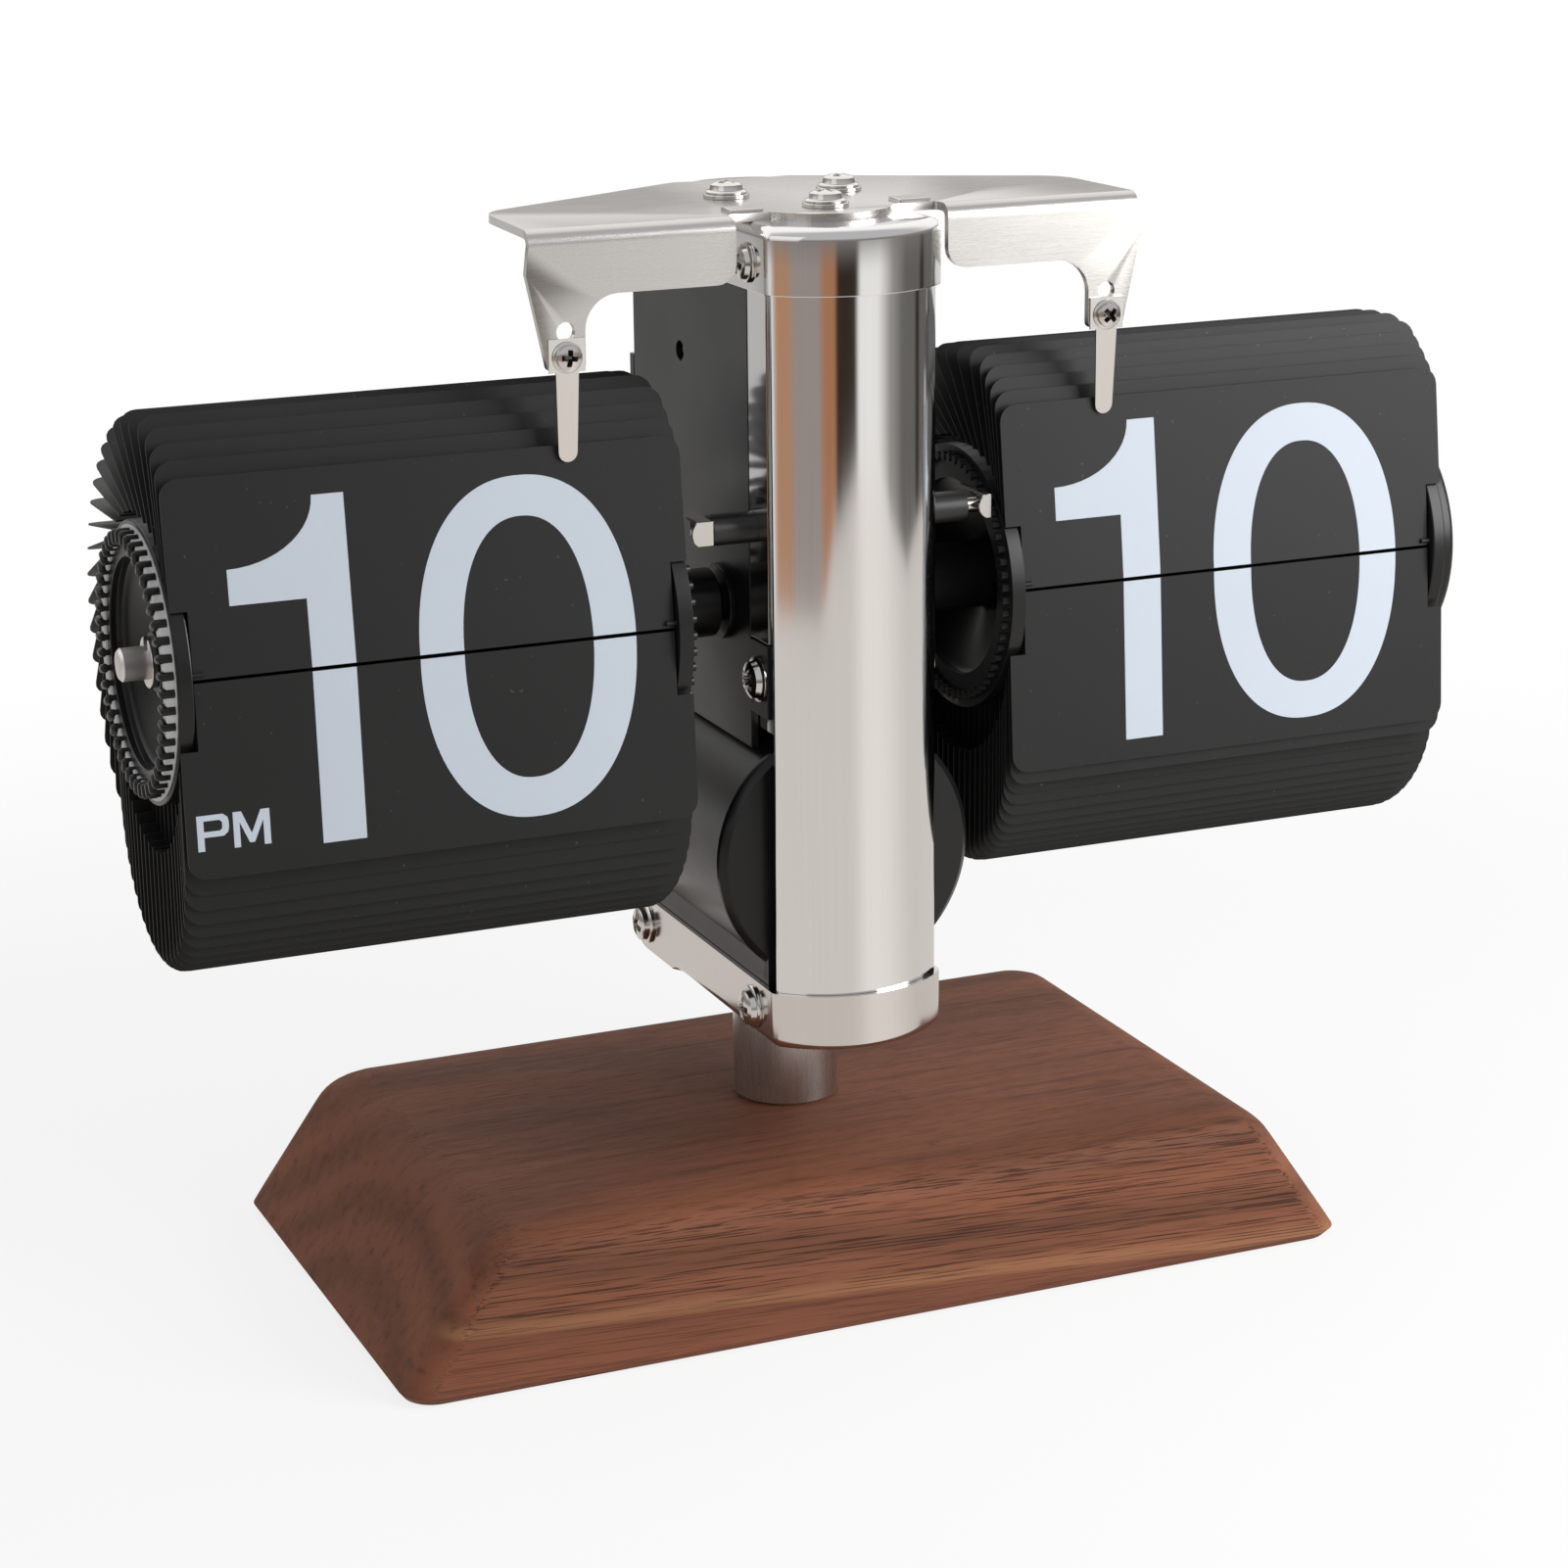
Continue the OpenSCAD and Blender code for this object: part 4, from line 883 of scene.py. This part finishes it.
print(f"bracket {2 * BRACKET_HW:.1f} mm wide, folded on a radius of {FOLD_R} mm")

# %% Flat pattern of the bracket
def arc_points(cx, cy, radius, start, end, count):
    angles = np.radians(np.linspace(start, end, count))
    return [(cx + radius * math.cos(a), cy + radius * math.sin(a)) for a in angles]


def unfolded(z):
    """Place on the flat pattern of a height on the folded front."""
    return FOLD_Y - FOLD_L - (BRACKET_TOP - FOLD_R - z)


nose_meet = math.degrees(math.asin((TAB_Y - BOW_Y) / NOSE_R))
leg_in = FINGER_X - LEG_HW
leg_out = FINGER_X + LEG_HW
flange_low = unfolded(FLANGE_LOW)
leg_low = unfolded(LEG_LOW)
half_outline = [
    *arc_points(0, BOW_Y, NOSE_R, -90, nose_meet, 14),
    *arc_points(WING_IN - SMALL_R, TAB_Y - SMALL_R, SMALL_R, 90, 0, 4),
    *arc_points(WING_IN + FLANGE_R, flange_low + FLANGE_R, FLANGE_R, 180, 270, 7),
    *arc_points(leg_in - LEG_R, flange_low - LEG_R, LEG_R, 90, 0, 9),
    *arc_points(leg_in + SMALL_R, leg_low + SMALL_R, SMALL_R, 180, 270, 5),
    *arc_points(leg_out - SMALL_R, leg_low + SMALL_R, SMALL_R, 270, 360, 5),
    (BRACKET_HW + SLOPE_OUT, unfolded(BRACKET_TOP - SLOPE_H)),
    (BRACKET_HW, FOLD_Y - FOLD_L),
    (BRACKET_HW, FOLD_Y),
    *arc_points(BRACKET_HW - WING_IN_BACK - WING_R, WING_Y, WING_R, 0, 60, 8),
    *REAR_EDGE,
    *arc_points(0, TAIL_Y, TAIL_R, 55, 90, 6),
]
outline = half_outline + [(-x, q) for x, q in half_outline[-2:0:-1]]
LEG_HOLE_Z = 149.0
LEG_HOLE_R = 1.4
holes = [arc_points(s * FINGER_X, unfolded(LEG_HOLE_Z), LEG_HOLE_R, 0, 337.5, 16) for s in (-1, 1)]
print(f"bracket outline: {len(outline)} points, {len(holes)} leg holes")

# %% Fill and fold the bracket
def filled(loops):
    """A flat triangulated sheet inside the first loop and outside the others."""
    bm = bmesh.new()
    for loop in loops:
        points = [bm.verts.new((x, q, 0)) for x, q in loop]
        for a, b in zip(points, points[1:] + points[:1]):
            bm.edges.new((a, b))
    bmesh.ops.triangle_fill(bm, use_beauty=True, use_dissolve=False, edges=bm.edges)
    for face in bm.faces:
        if face.normal.z < 0:
            face.normal_flip()
    return bm


bracket_skin = filled([outline] + holes)
for share in [-0.1, *np.linspace(0, 1, 9), 1.1]:
    cut = FOLD_Y - FOLD_L * share
    everything = bracket_skin.verts[:] + bracket_skin.edges[:] + bracket_skin.faces[:]
    bmesh.ops.bisect_plane(bracket_skin, geom=everything, plane_co=(0, cut, 0), plane_no=(0, 1, 0))
for vert in bracket_skin.verts:
    past = FOLD_Y - vert.co.y
    on_wing = abs(vert.co.x) > WING_IN - 0.5
    if past <= 0 or not on_wing:
        vert.co.z = BRACKET_TOP
    elif past < FOLD_L:
        turn = past / FOLD_R
        vert.co.y = FOLD_Y - FOLD_R * math.sin(turn)
        vert.co.z = BRACKET_TOP - FOLD_R + FOLD_R * math.cos(turn)
    else:
        vert.co.y = FLANGE_Y
        vert.co.z = BRACKET_TOP - FOLD_R - (past - FOLD_L)
bmesh.ops.remove_doubles(bracket_skin, verts=bracket_skin.verts, dist=1e-4)
BRACKET_EDGE = 0.16
sheet_metal("folded_bracket", bracket_skin, BRACKET_T, BRACKET_EDGE, brushed, "top_bracket")

# %% Raised stops on the bracket
STOP_W = 5.0
STOP_D = 4.2
STOP_H = 0.8
STOP_SUNK = 0.2
stops = bmesh.new()
for side in (-1, 1):
    stop_x = side * (NOSE_R + STOP_W / 2)
    centre = Matrix.Translation((stop_x, TAB_Y + STOP_D / 2, BRACKET_TOP + STOP_H / 2 - STOP_SUNK))
    bmesh.ops.create_cube(stops, size=1, matrix=centre @ Matrix.Diagonal((STOP_W, STOP_D, STOP_H, 1)))
stops_object = in_scene("bracket_stops", stops)
round_edges(stops_object, 0.25)
apply_modifiers(stops_object)
finish_piece(stops_object, brushed, "stand")

# %% [markdown]
# ## Screws
# Seventeen pan-head screws hold the clock together, and each has a cross recess. One head of unit
# radius is modelled as a round height field: a dome on a thin flange, with the cross pressed in.
# Geometry Nodes set it on one point for each screw. The point carries the screw's direction and size,
# and a seeded random turn keeps the crosses from lining up. Little light gets into a recess, so an
# attribute marks its points for a darker colour.

# %% One screw head
HEAD_SHARP = 32.0
HEAD_H = 0.62
DOME_R = 0.78
DOME_DROP = 0.30
DOME_POWER = 2.4
CROSS_HW = 0.13
CROSS_L = 0.54
CROSS_DEEP = 0.46
HEAD_RIM = [(0.80, 0.30), (0.83, 0.18), (0.95, 0.15), (1.0, 0.10), (1.0, 0.03), (0.97, 0.0)]
SHANK = [(0.45, 0.0), (0.45, -0.9), (0.0, -0.9)]


def fall_off(distance, limit, soft):
    return min(1.0, max(0.0, (limit - distance) / soft))


def cross_share(p):
    """1 in the cross recess, 0 on the dome and a steep wall between them."""
    narrow = min(abs(p.x), abs(p.y))
    far = max(abs(p.x), abs(p.y))
    return fall_off(narrow, CROSS_HW + 0.03, 0.06) * fall_off(far, CROSS_L, 0.12)


def on_dome(p):
    dome = HEAD_H * (1 - DOME_DROP * (p.length / DOME_R) ** DOME_POWER)
    return Vector((p.x, p.y, dome - CROSS_DEEP * cross_share(p)))


dome_rings = [circle_ring(radius, 0.0, SEGMENTS) for radius in np.linspace(0.0, DOME_R, 18)]
head_rings = [[on_dome(p) for p in ring] for ring in dome_rings]
head_rings += [circle_ring(radius, z, SEGMENTS) for radius, z in HEAD_RIM + SHANK]
head = loft(head_rings)
recess = head.verts.layers.float.new("recess")
for vert in head.verts:
    vert[recess] = cross_share(Vector((vert.co.x, vert.co.y, 0.0))) if vert.co.z > 0 else 0.0
bmesh.ops.remove_doubles(head, verts=head.verts, dist=1e-5)
head_object = in_scene("screw_head", facing_out(head))
head_object.data.shade_smooth()
head_object.data.set_sharp_from_angle(angle=math.radians(HEAD_SHARP))

SCREW_GREY = (0.70, 0.68, 0.65)
RECESS_GREY = (0.10, 0.095, 0.09)
screw_steel = steel("screw_steel", SCREW_GREY, 0.17, (2.0, 2.0, 2.0), 0.002, 0.08, toned=False)
in_recess = screw_steel.add("ShaderNodeAttribute", {"attribute_name": "recess"}, output="Fac")
screw_steel.drive("Base Color", screw_steel.mix(in_recess, SCREW_GREY, RECESS_GREY))
print(f"screw head: {len(head_object.data.polygons)} faces")

# %% Node groups
def node_group(name, inputs):
    """An empty Geometry Nodes group with named inputs."""
    group = bpy.data.node_groups.new(name, "GeometryNodeTree")
    group.interface.new_socket("Geometry", in_out="INPUT", socket_type="NodeSocketGeometry")
    for label, kind in inputs.items():
        group.interface.new_socket(label, in_out="INPUT", socket_type=kind)
    group.interface.new_socket("Geometry", in_out="OUTPUT", socket_type="NodeSocketGeometry")
    return group


def end_with_copies(tree, each, finish):
    """Ends a group with a copy of a shape on each point, made real and given a finish."""
    on_points = tree.add("GeometryNodeInstanceOnPoints", {}, each)
    real = tree.add("GeometryNodeRealizeInstances", {}, {"Geometry": on_points})
    painted = tree.add("GeometryNodeSetMaterial", {}, {"Geometry": real, "Material": finish.material})
    tree.add("NodeGroupOutput", {}, {0: painted})


def grow(obj, group, values):
    """Runs a node group on an object and keeps the result as a plain mesh."""
    modifier = obj.modifiers.new("grow", "NODES")
    modifier.node_group = group
    for item in group.interface.items_tree:
        if item.in_out == "INPUT" and item.name in values:
            modifier[item.identifier] = values[item.name]
    apply_modifiers(obj)


print("node group helpers ready")

# %% Screws on points
screw_group = node_group("screws_on_points", {"Head": "NodeSocketObject", "Seed": "NodeSocketInt"})
screw_tree = Tree(screw_group)
given = screw_tree.add("NodeGroupInput", output="Geometry")
head_shape = screw_tree.add("GeometryNodeObjectInfo", {}, {"Object": given.other("Head")}, output="Geometry")
axis = screw_tree.add("GeometryNodeInputNamedAttribute", {"data_type": "FLOAT_VECTOR"}, {"Name": "axis"})
size = screw_tree.add("GeometryNodeInputNamedAttribute", {"data_type": "FLOAT"}, {"Name": "size"})
turn_range = {"Min": 0.0, "Max": math.tau, "Seed": given.other("Seed")}
random_turn = screw_tree.add("FunctionNodeRandomValue", {"data_type": "FLOAT"}, turn_range, output=1)
turn = screw_tree.add("FunctionNodeAxisAngleToRotation", {}, {"Axis": (0.0, 0.0, 1.0), "Angle": random_turn})
aimed = screw_tree.add("FunctionNodeAlignRotationToVector", {"axis": "Z"}, {"Vector": axis})
placed_turn = screw_tree.add("FunctionNodeRotateRotation", {"rotation_space": "LOCAL"}, {0: aimed, 1: turn})
each_head = {"Points": given, "Instance": head_shape, "Rotation": placed_turn, "Scale": size}
end_with_copies(screw_tree, each_head, screw_steel)
print(f"screw group: {len(screw_group.nodes)} nodes")

# %% Set the screws
# Each screw has the middle of its head's seat, the way it looks and the radius of its head.
CHASSIS_HW = 12.9
SCREWS = {
    "strap_screws": [((s * SIDE_X, y, STRAP_MID), (s, 0, 0), 3.3) for s in (-1, 1) for y in (-20.0, 24.05)],
    "cap_screws": [((s * SIDE_X, -20.9, 156.4), (s, 0, 0), 2.9) for s in (-1, 1)],
    "top_screws": [((x, y, 163.8), (0, 0, 1), 3.0) for x, y in ((-9, -2), (9, -2), (0, -17.5))],
    "spring_screws": [((s * FINGER_X, -24.1, 145.5), (0, -1, 0), 2.2) for s in (-1, 1)],
    "pillar_screws": [((s * CHASSIS_HW, -21.5, 95.5), (s, 0, 0), 3.4) for s in (-1, 1)],
    "rear_cover_screws": [((s * 7.5, 28.6, z), (0, 1, 0), 1.9) for s in (-1, 1) for z in (89.4, 134.5)],
}
all_screws = [screw for group in SCREWS.values() for screw in group]
screw_points = bmesh.new()
for place, out, radius in all_screws:
    screw_points.verts.new(place)
screws = in_scene("pan_head_screws", screw_points)
axis_values = screws.data.attributes.new("axis", "FLOAT_VECTOR", "POINT")
axis_values.data.foreach_set("vector", [c for place, out, radius in all_screws for c in out])
size_values = screws.data.attributes.new("size", "FLOAT", "POINT")
size_values.data.foreach_set("value", [radius for place, out, radius in all_screws])
grow(screws, screw_group, {"Head": head_object, "Seed": 7})
bpy.data.objects.remove(head_object)
finish_piece(screws, screw_steel, "stand", list(SCREWS), sharp=HEAD_SHARP)

# %% [markdown]
# ## End rings
# On each drum's outer end the wall of a pale ring shows between short black bars, which hold the
# cards' pins, and a black lip runs inside it. The minutes also have a smooth black rim round the
# bars. There are 48 bars for the hours and 60 for the minutes. The rings are turned on the lathe. One
# bar with a round end is modelled, and a node group sets it on a circle, each copy turned to point at
# the axle. Count and circle are inputs, so one group serves for both drums.

# %% One bar
AXIS_Y = -7.5
AXIS_Z = 104.3
CARD_OUT = 100.6
PIN_CIRCLE = 18.4
BAR_HW = 0.65
BAR_IN = 1.7
BAR_H = 2.2
BAR_ROUND = 0.55


def bar_ring(shrink, z):
    """Outline of a bar, with its ends rounded, smaller all round by shrink."""
    radius = BAR_HW - shrink
    ends = [(0.0, -90), (BAR_HW - BAR_IN, 90)]
    return [Vector((x + radius * math.cos(a), radius * math.sin(a), z))
            for x, start in ends for a in np.radians(np.linspace(start, start + 180, 7))]


bar_rows = [bar_ring(0, 0.1)]
for angle in np.radians([0, 30, 55, 75]):
    bar_rows.append(bar_ring(BAR_ROUND * (1 - math.cos(angle)), BAR_H - BAR_ROUND * (1 - math.sin(angle))))
bar_object = in_scene("ring_bar", facing_out(loft(bar_rows, capped=True)))
print(f"bar: {len(bar_object.data.polygons)} faces")

# %% Bars on a circle
bar_inputs = {"Bar": "NodeSocketObject", "Count": "NodeSocketInt", "Pin circle": "NodeSocketFloat"}
bar_group = node_group("bars_on_circle", bar_inputs)
bar_tree = Tree(bar_group)
bar_count = bar_tree.add("NodeGroupInput", output="Count")
bar_shape = bar_tree.add("GeometryNodeObjectInfo", {}, {"Object": bar_count.other("Bar")}, output="Geometry")
spots = {"Vertices": bar_count, "Radius": bar_count.other("Pin circle")}
circle = bar_tree.add("GeometryNodeMeshCircle", {}, spots)
bar_turn = bar_tree.add("GeometryNodeInputIndex") * math.tau / bar_count
inwards = bar_tree.add("FunctionNodeAxisAngleToRotation", {}, {"Axis": (0.0, 0.0, 1.0), "Angle": bar_turn})
each_bar = {"Points": circle, "Instance": bar_shape, "Rotation": inwards}
end_with_copies(bar_tree, each_bar, black_plastic)
print(f"bar group: {len(bar_group.nodes)} nodes")

# %% Profiles of the turned rings
LIP_IN = 15.0
LIP_OUT = 16.8
LIP_H = 0.9
WALL_IN = 16.9
WALL_OUT = 18.6
WALL_H = 1.3
FLANGE_OUT = 19.5
FLANGE_T = 0.1
EASE = 0.15
WALL_PROFILE = [
    (WALL_IN, 0.0), (FLANGE_OUT, 0.0), (FLANGE_OUT, FLANGE_T), (WALL_OUT, FLANGE_T),
    (WALL_OUT, WALL_H - EASE), (WALL_OUT - EASE, WALL_H), (WALL_IN + EASE, WALL_H), (WALL_IN, WALL_H - EASE),
]
LIP_PROFILE = [
    (LIP_IN, 0.0), (LIP_OUT, 0.0), (LIP_OUT, LIP_H - EASE), (LIP_OUT - EASE, LIP_H), (LIP_IN + EASE, LIP_H),
    (LIP_IN, LIP_H - EASE),
]
RIM_IN = 18.7
RIM_OUT = 19.3
RIM_PROFILE = [
    (RIM_IN, 0.0), (RIM_OUT, 0.0), (RIM_OUT, 1.3),
    (RIM_OUT - 0.08, 1.75), (RIM_OUT - 0.3, 2.1), (RIM_IN, 2.25),
]
print(f"turned rings: lip from {LIP_IN}, wall from {WALL_IN} and rim from {RIM_IN} mm")

# %% Rings and bars on both drums
RING_SEGMENTS = 96
RING_SHARP = 40.0


def on_drum_end(piece, finish, drum, side, stands_for=()):
    """Carries a piece that was made round the z axis to a drum's outer end."""
    turn = Matrix(((0, 0, side), (0, -side, 0), (1, 0, 0))).to_4x4()
    piece.data.transform(Matrix.Translation((side * CARD_OUT, AXIS_Y, AXIS_Z)) @ turn)
    finish_piece(piece, finish, f"{drum}_drum", stands_for, sharp=RING_SHARP)


def turned_ring(name, profile):
    return in_scene(name, lathe(profile, RING_SEGMENTS, ring=True))


for drum, side, cards in (("hour", -1, 48), ("minute", 1, 60)):
    pale_ring = turned_ring(f"{drum}_pale_ring", WALL_PROFILE)
    on_drum_end(pale_ring, pale_plastic, drum, side, [f"{drum}_end_ring"])
    on_drum_end(turned_ring(f"{drum}_dish_lip", LIP_PROFILE), black_plastic, drum, side)
    bars = in_scene(f"{drum}_ring_bars", bmesh.new())
    grow(bars, bar_group, {"Bar": bar_object, "Count": cards, "Pin circle": PIN_CIRCLE})
    on_drum_end(bars, black_plastic, drum, side)
on_drum_end(turned_ring("minute_outer_rim", RIM_PROFILE), black_plastic, "minute", 1)
bpy.data.objects.remove(bar_object)

# %% [markdown]
# ## Printed digits
# The digits are printed in pale ink, and each is split between two cards. A print could be a texture,
# but a very thin closed shape on the card keeps its edges sharp at any distance and needs no image.
# Each digit is drawn once round the split line, cut in two and laid on the cards. The falling card
# also carries the lower half of the next number on its back, and the card behind it the upper half.

# %% Digit outlines
def ellipse_points(cu, cv, ru, rv, start, end, count, power=2.0):
    """Points of a superellipse; power 2 is a plain ellipse."""
    points = []
    for angle in np.radians(np.linspace(start, end, count)):
        along = math.copysign(abs(math.cos(angle)) ** (2 / power), math.cos(angle))
        upward = math.copysign(abs(math.sin(angle)) ** (2 / power), math.sin(angle))
        points.append((cu + ru * along, cv + rv * upward))
    return points


CUT = 0.30
ONE = [(-12.10, 23.88)] + ellipse_points(-29.24, 23.88, 12.59, 9.09, 0, -90, 14)
ONE += [(-29.24, 9.84), (-18.39, 9.84), (-18.39, -24.55), (-12.10, -24.55)]
ZERO_U = 13.17
ZERO_V = -0.3
ZERO_OUT = (16.06, 24.3)
ZERO_IN = (9.62, 18.6)
ZERO_POWER = 2.25
SECOND_PLACE = 33.0
print(f"digits: one with {len(ONE)} points, zero from two superellipses")

# %% Cut the digits in two
def cut_half(loop, sign):
    """The part of a loop beyond the cut, above it for +1 and below it for -1."""
    kept = []
    for (u0, v0), (u1, v1) in zip(loop, loop[1:] + loop[:1]):
        in0 = sign * v0 >= CUT
        in1 = sign * v1 >= CUT
        if in0:
            kept.append((u0, v0))
        if in0 != in1:
            share = (sign * CUT - v0) / (v1 - v0)
            kept.append((u0 + share * (u1 - u0), sign * CUT))
    return kept


def half_one(sign, shift=0.0):
    return [(u + shift, v) for u, v in cut_half(ONE, sign)]


def half_zero(sign):
    """Half of the ring: out along the outer curve and back along the inner one."""
    start, end = (0, 180) if sign > 0 else (180, 360)
    outer = ellipse_points(ZERO_U, ZERO_V, *ZERO_OUT, start, end, 64, ZERO_POWER)
    inner = ellipse_points(ZERO_U, ZERO_V, *ZERO_IN, start, end, 64, ZERO_POWER)
    keep_outer = [p for p in outer if sign * p[1] > CUT]
    keep_inner = [p for p in inner if sign * p[1] > CUT]
    ends = [(keep_outer[-1][0], sign * CUT), (keep_inner[-1][0], sign * CUT)]
    starts = [(keep_inner[0][0], sign * CUT), (keep_outer[0][0], sign * CUT)]
    return keep_outer + ends + keep_inner[::-1] + starts


print(f"halves end {CUT} mm from the split line")

# %% Two small letters
LETTER_P = [(-36.1, -23.6), (-35.15, -23.6), (-35.15, -21.7), (-32.4, -21.7), (-31.75, -21.2), (-31.6, -20.5),
            (-31.6, -19.7), (-31.75, -19.1), (-32.4, -18.6), (-36.1, -18.6)]
P_EYE = [(-35.15, -20.9), (-32.9, -20.9), (-32.55, -20.6), (-32.55, -19.75), (-32.9, -19.4), (-35.15, -19.4)]
LETTER_M = [(-31.0, -23.6), (-30.1, -23.6), (-30.1, -20.1), (-28.8, -23.1), (-28.1, -23.1), (-26.75, -20.1),
            (-26.75, -23.6), (-25.8, -23.6), (-25.8, -18.6), (-27.05, -18.6), (-28.45, -21.8), (-29.8, -18.6),
            (-31.0, -18.6)]
print(f"letters: {len(LETTER_P) + len(P_EYE)} and {len(LETTER_M)} points")

# %% Lay the print on the cards
CARD_FACE = 0.125
INK_T = 0.02
PIN_TO_SPLIT = 0.95
DISPLAY_X = 63.0


def card_matrix(side, pin_y, pin_z, lean, shift):
    """From a card's own plane to the clock: its pin, its lean and its play on the pin."""
    to_pin = Matrix.Translation((side * DISPLAY_X, AXIS_Y + pin_y, AXIS_Z + pin_z))
    return to_pin @ Matrix.Rotation(math.radians(-lean), 4, "X") @ Matrix.Translation((0, shift, 0))


def pin_at(phi):
    return -PIN_CIRCLE * math.cos(math.radians(phi)), PIN_CIRCLE * math.sin(math.radians(phi))


def lay_print(name, shapes, half, face, matrix, body):
    """Thin ink on a card; half is +1 for the upper half of a number, face is the side of the card."""
    print_mesh = bmesh.new()
    for loops in shapes:
        flat = filled([[(u, half * v - PIN_TO_SPLIT) for u, v in loop] for loop in loops])
        extruded = bmesh.ops.extrude_face_region(flat, geom=flat.faces[:])
        for v in extruded["geom"]:
            if isinstance(v, bmesh.types.BMVert):
                v.co.z += INK_T
        sheet = bpy.data.meshes.new("ink")
        flat.to_mesh(sheet)
        flat.free()
        print_mesh.from_mesh(sheet)
        bpy.data.meshes.remove(sheet)
    for v in print_mesh.verts:
        v.co = Vector((v.co.x, face * (CARD_FACE + v.co.z), v.co.y))
    bmesh.ops.transform(print_mesh, matrix=matrix, verts=print_mesh.verts)
    finish_piece(in_scene(name, facing_out(print_mesh)), ink, body)


print(f"ink {INK_T} mm thick")

# %% Print both displays
# Each card has its pin's y and z from the axle, its lean in degrees and its play on the pin.
FRONT = (-18.95, 2.3, 7.5, 0.27)
LOWER = (-18.85, 0.4, 184.0, 0.0)
NEXT = {"hour": (*pin_at(14.47), 10.35, 0.062), "minute": (*pin_at(12.97), 9.78, 0.024)}
for display, side in (("hour", -1), ("minute", 1)):
    letters = [[LETTER_P, P_EYE], [LETTER_M]] if display == "hour" else []
    ten_top = [[half_one(1)], [half_zero(1)]]
    ten_low = [[half_one(-1)], [half_zero(-1)]] + letters
    eleven_top = [[half_one(1)], [half_one(1, SECOND_PLACE)]]
    eleven_low = [[half_one(-1)], [half_one(-1, SECOND_PLACE)]] + letters
    lay_print(f"{display}_now_top", ten_top, 1, -1, card_matrix(side, *FRONT), f"{display}_card")
    lay_print(f"{display}_now_low", ten_low, -1, 1, card_matrix(side, *LOWER), "stand")
    lay_print(f"{display}_next_low", eleven_low, -1, 1, card_matrix(side, *FRONT), f"{display}_card")
    lay_print(f"{display}_next_top", eleven_top, 1, -1, card_matrix(side, *NEXT[display]), "stand")

# %% [markdown]
# ## A flag for the key lamp
# A small bent mirror shows the lamp itself as a hard white spot. A photographer holds a flag between
# the two, or dulls the metal with spray, which would spoil the polish. Light linking is the flag
# here: the key lamp leaves out the cap, the stops and the screw heads, and they show only the room.

# %% Flag the key lamp
flagged = bpy.data.collections.new("flagged_from_key_lamp")
for name in ("pressed_cap", "bracket_stops", "pan_head_screws"):
    flagged.objects.link(bpy.data.objects[name])
for entry in flagged.collection_objects:
    entry.light_linking.link_state = "EXCLUDE"
bpy.data.objects["key_lamp"].light_linking.receiver_collection = flagged
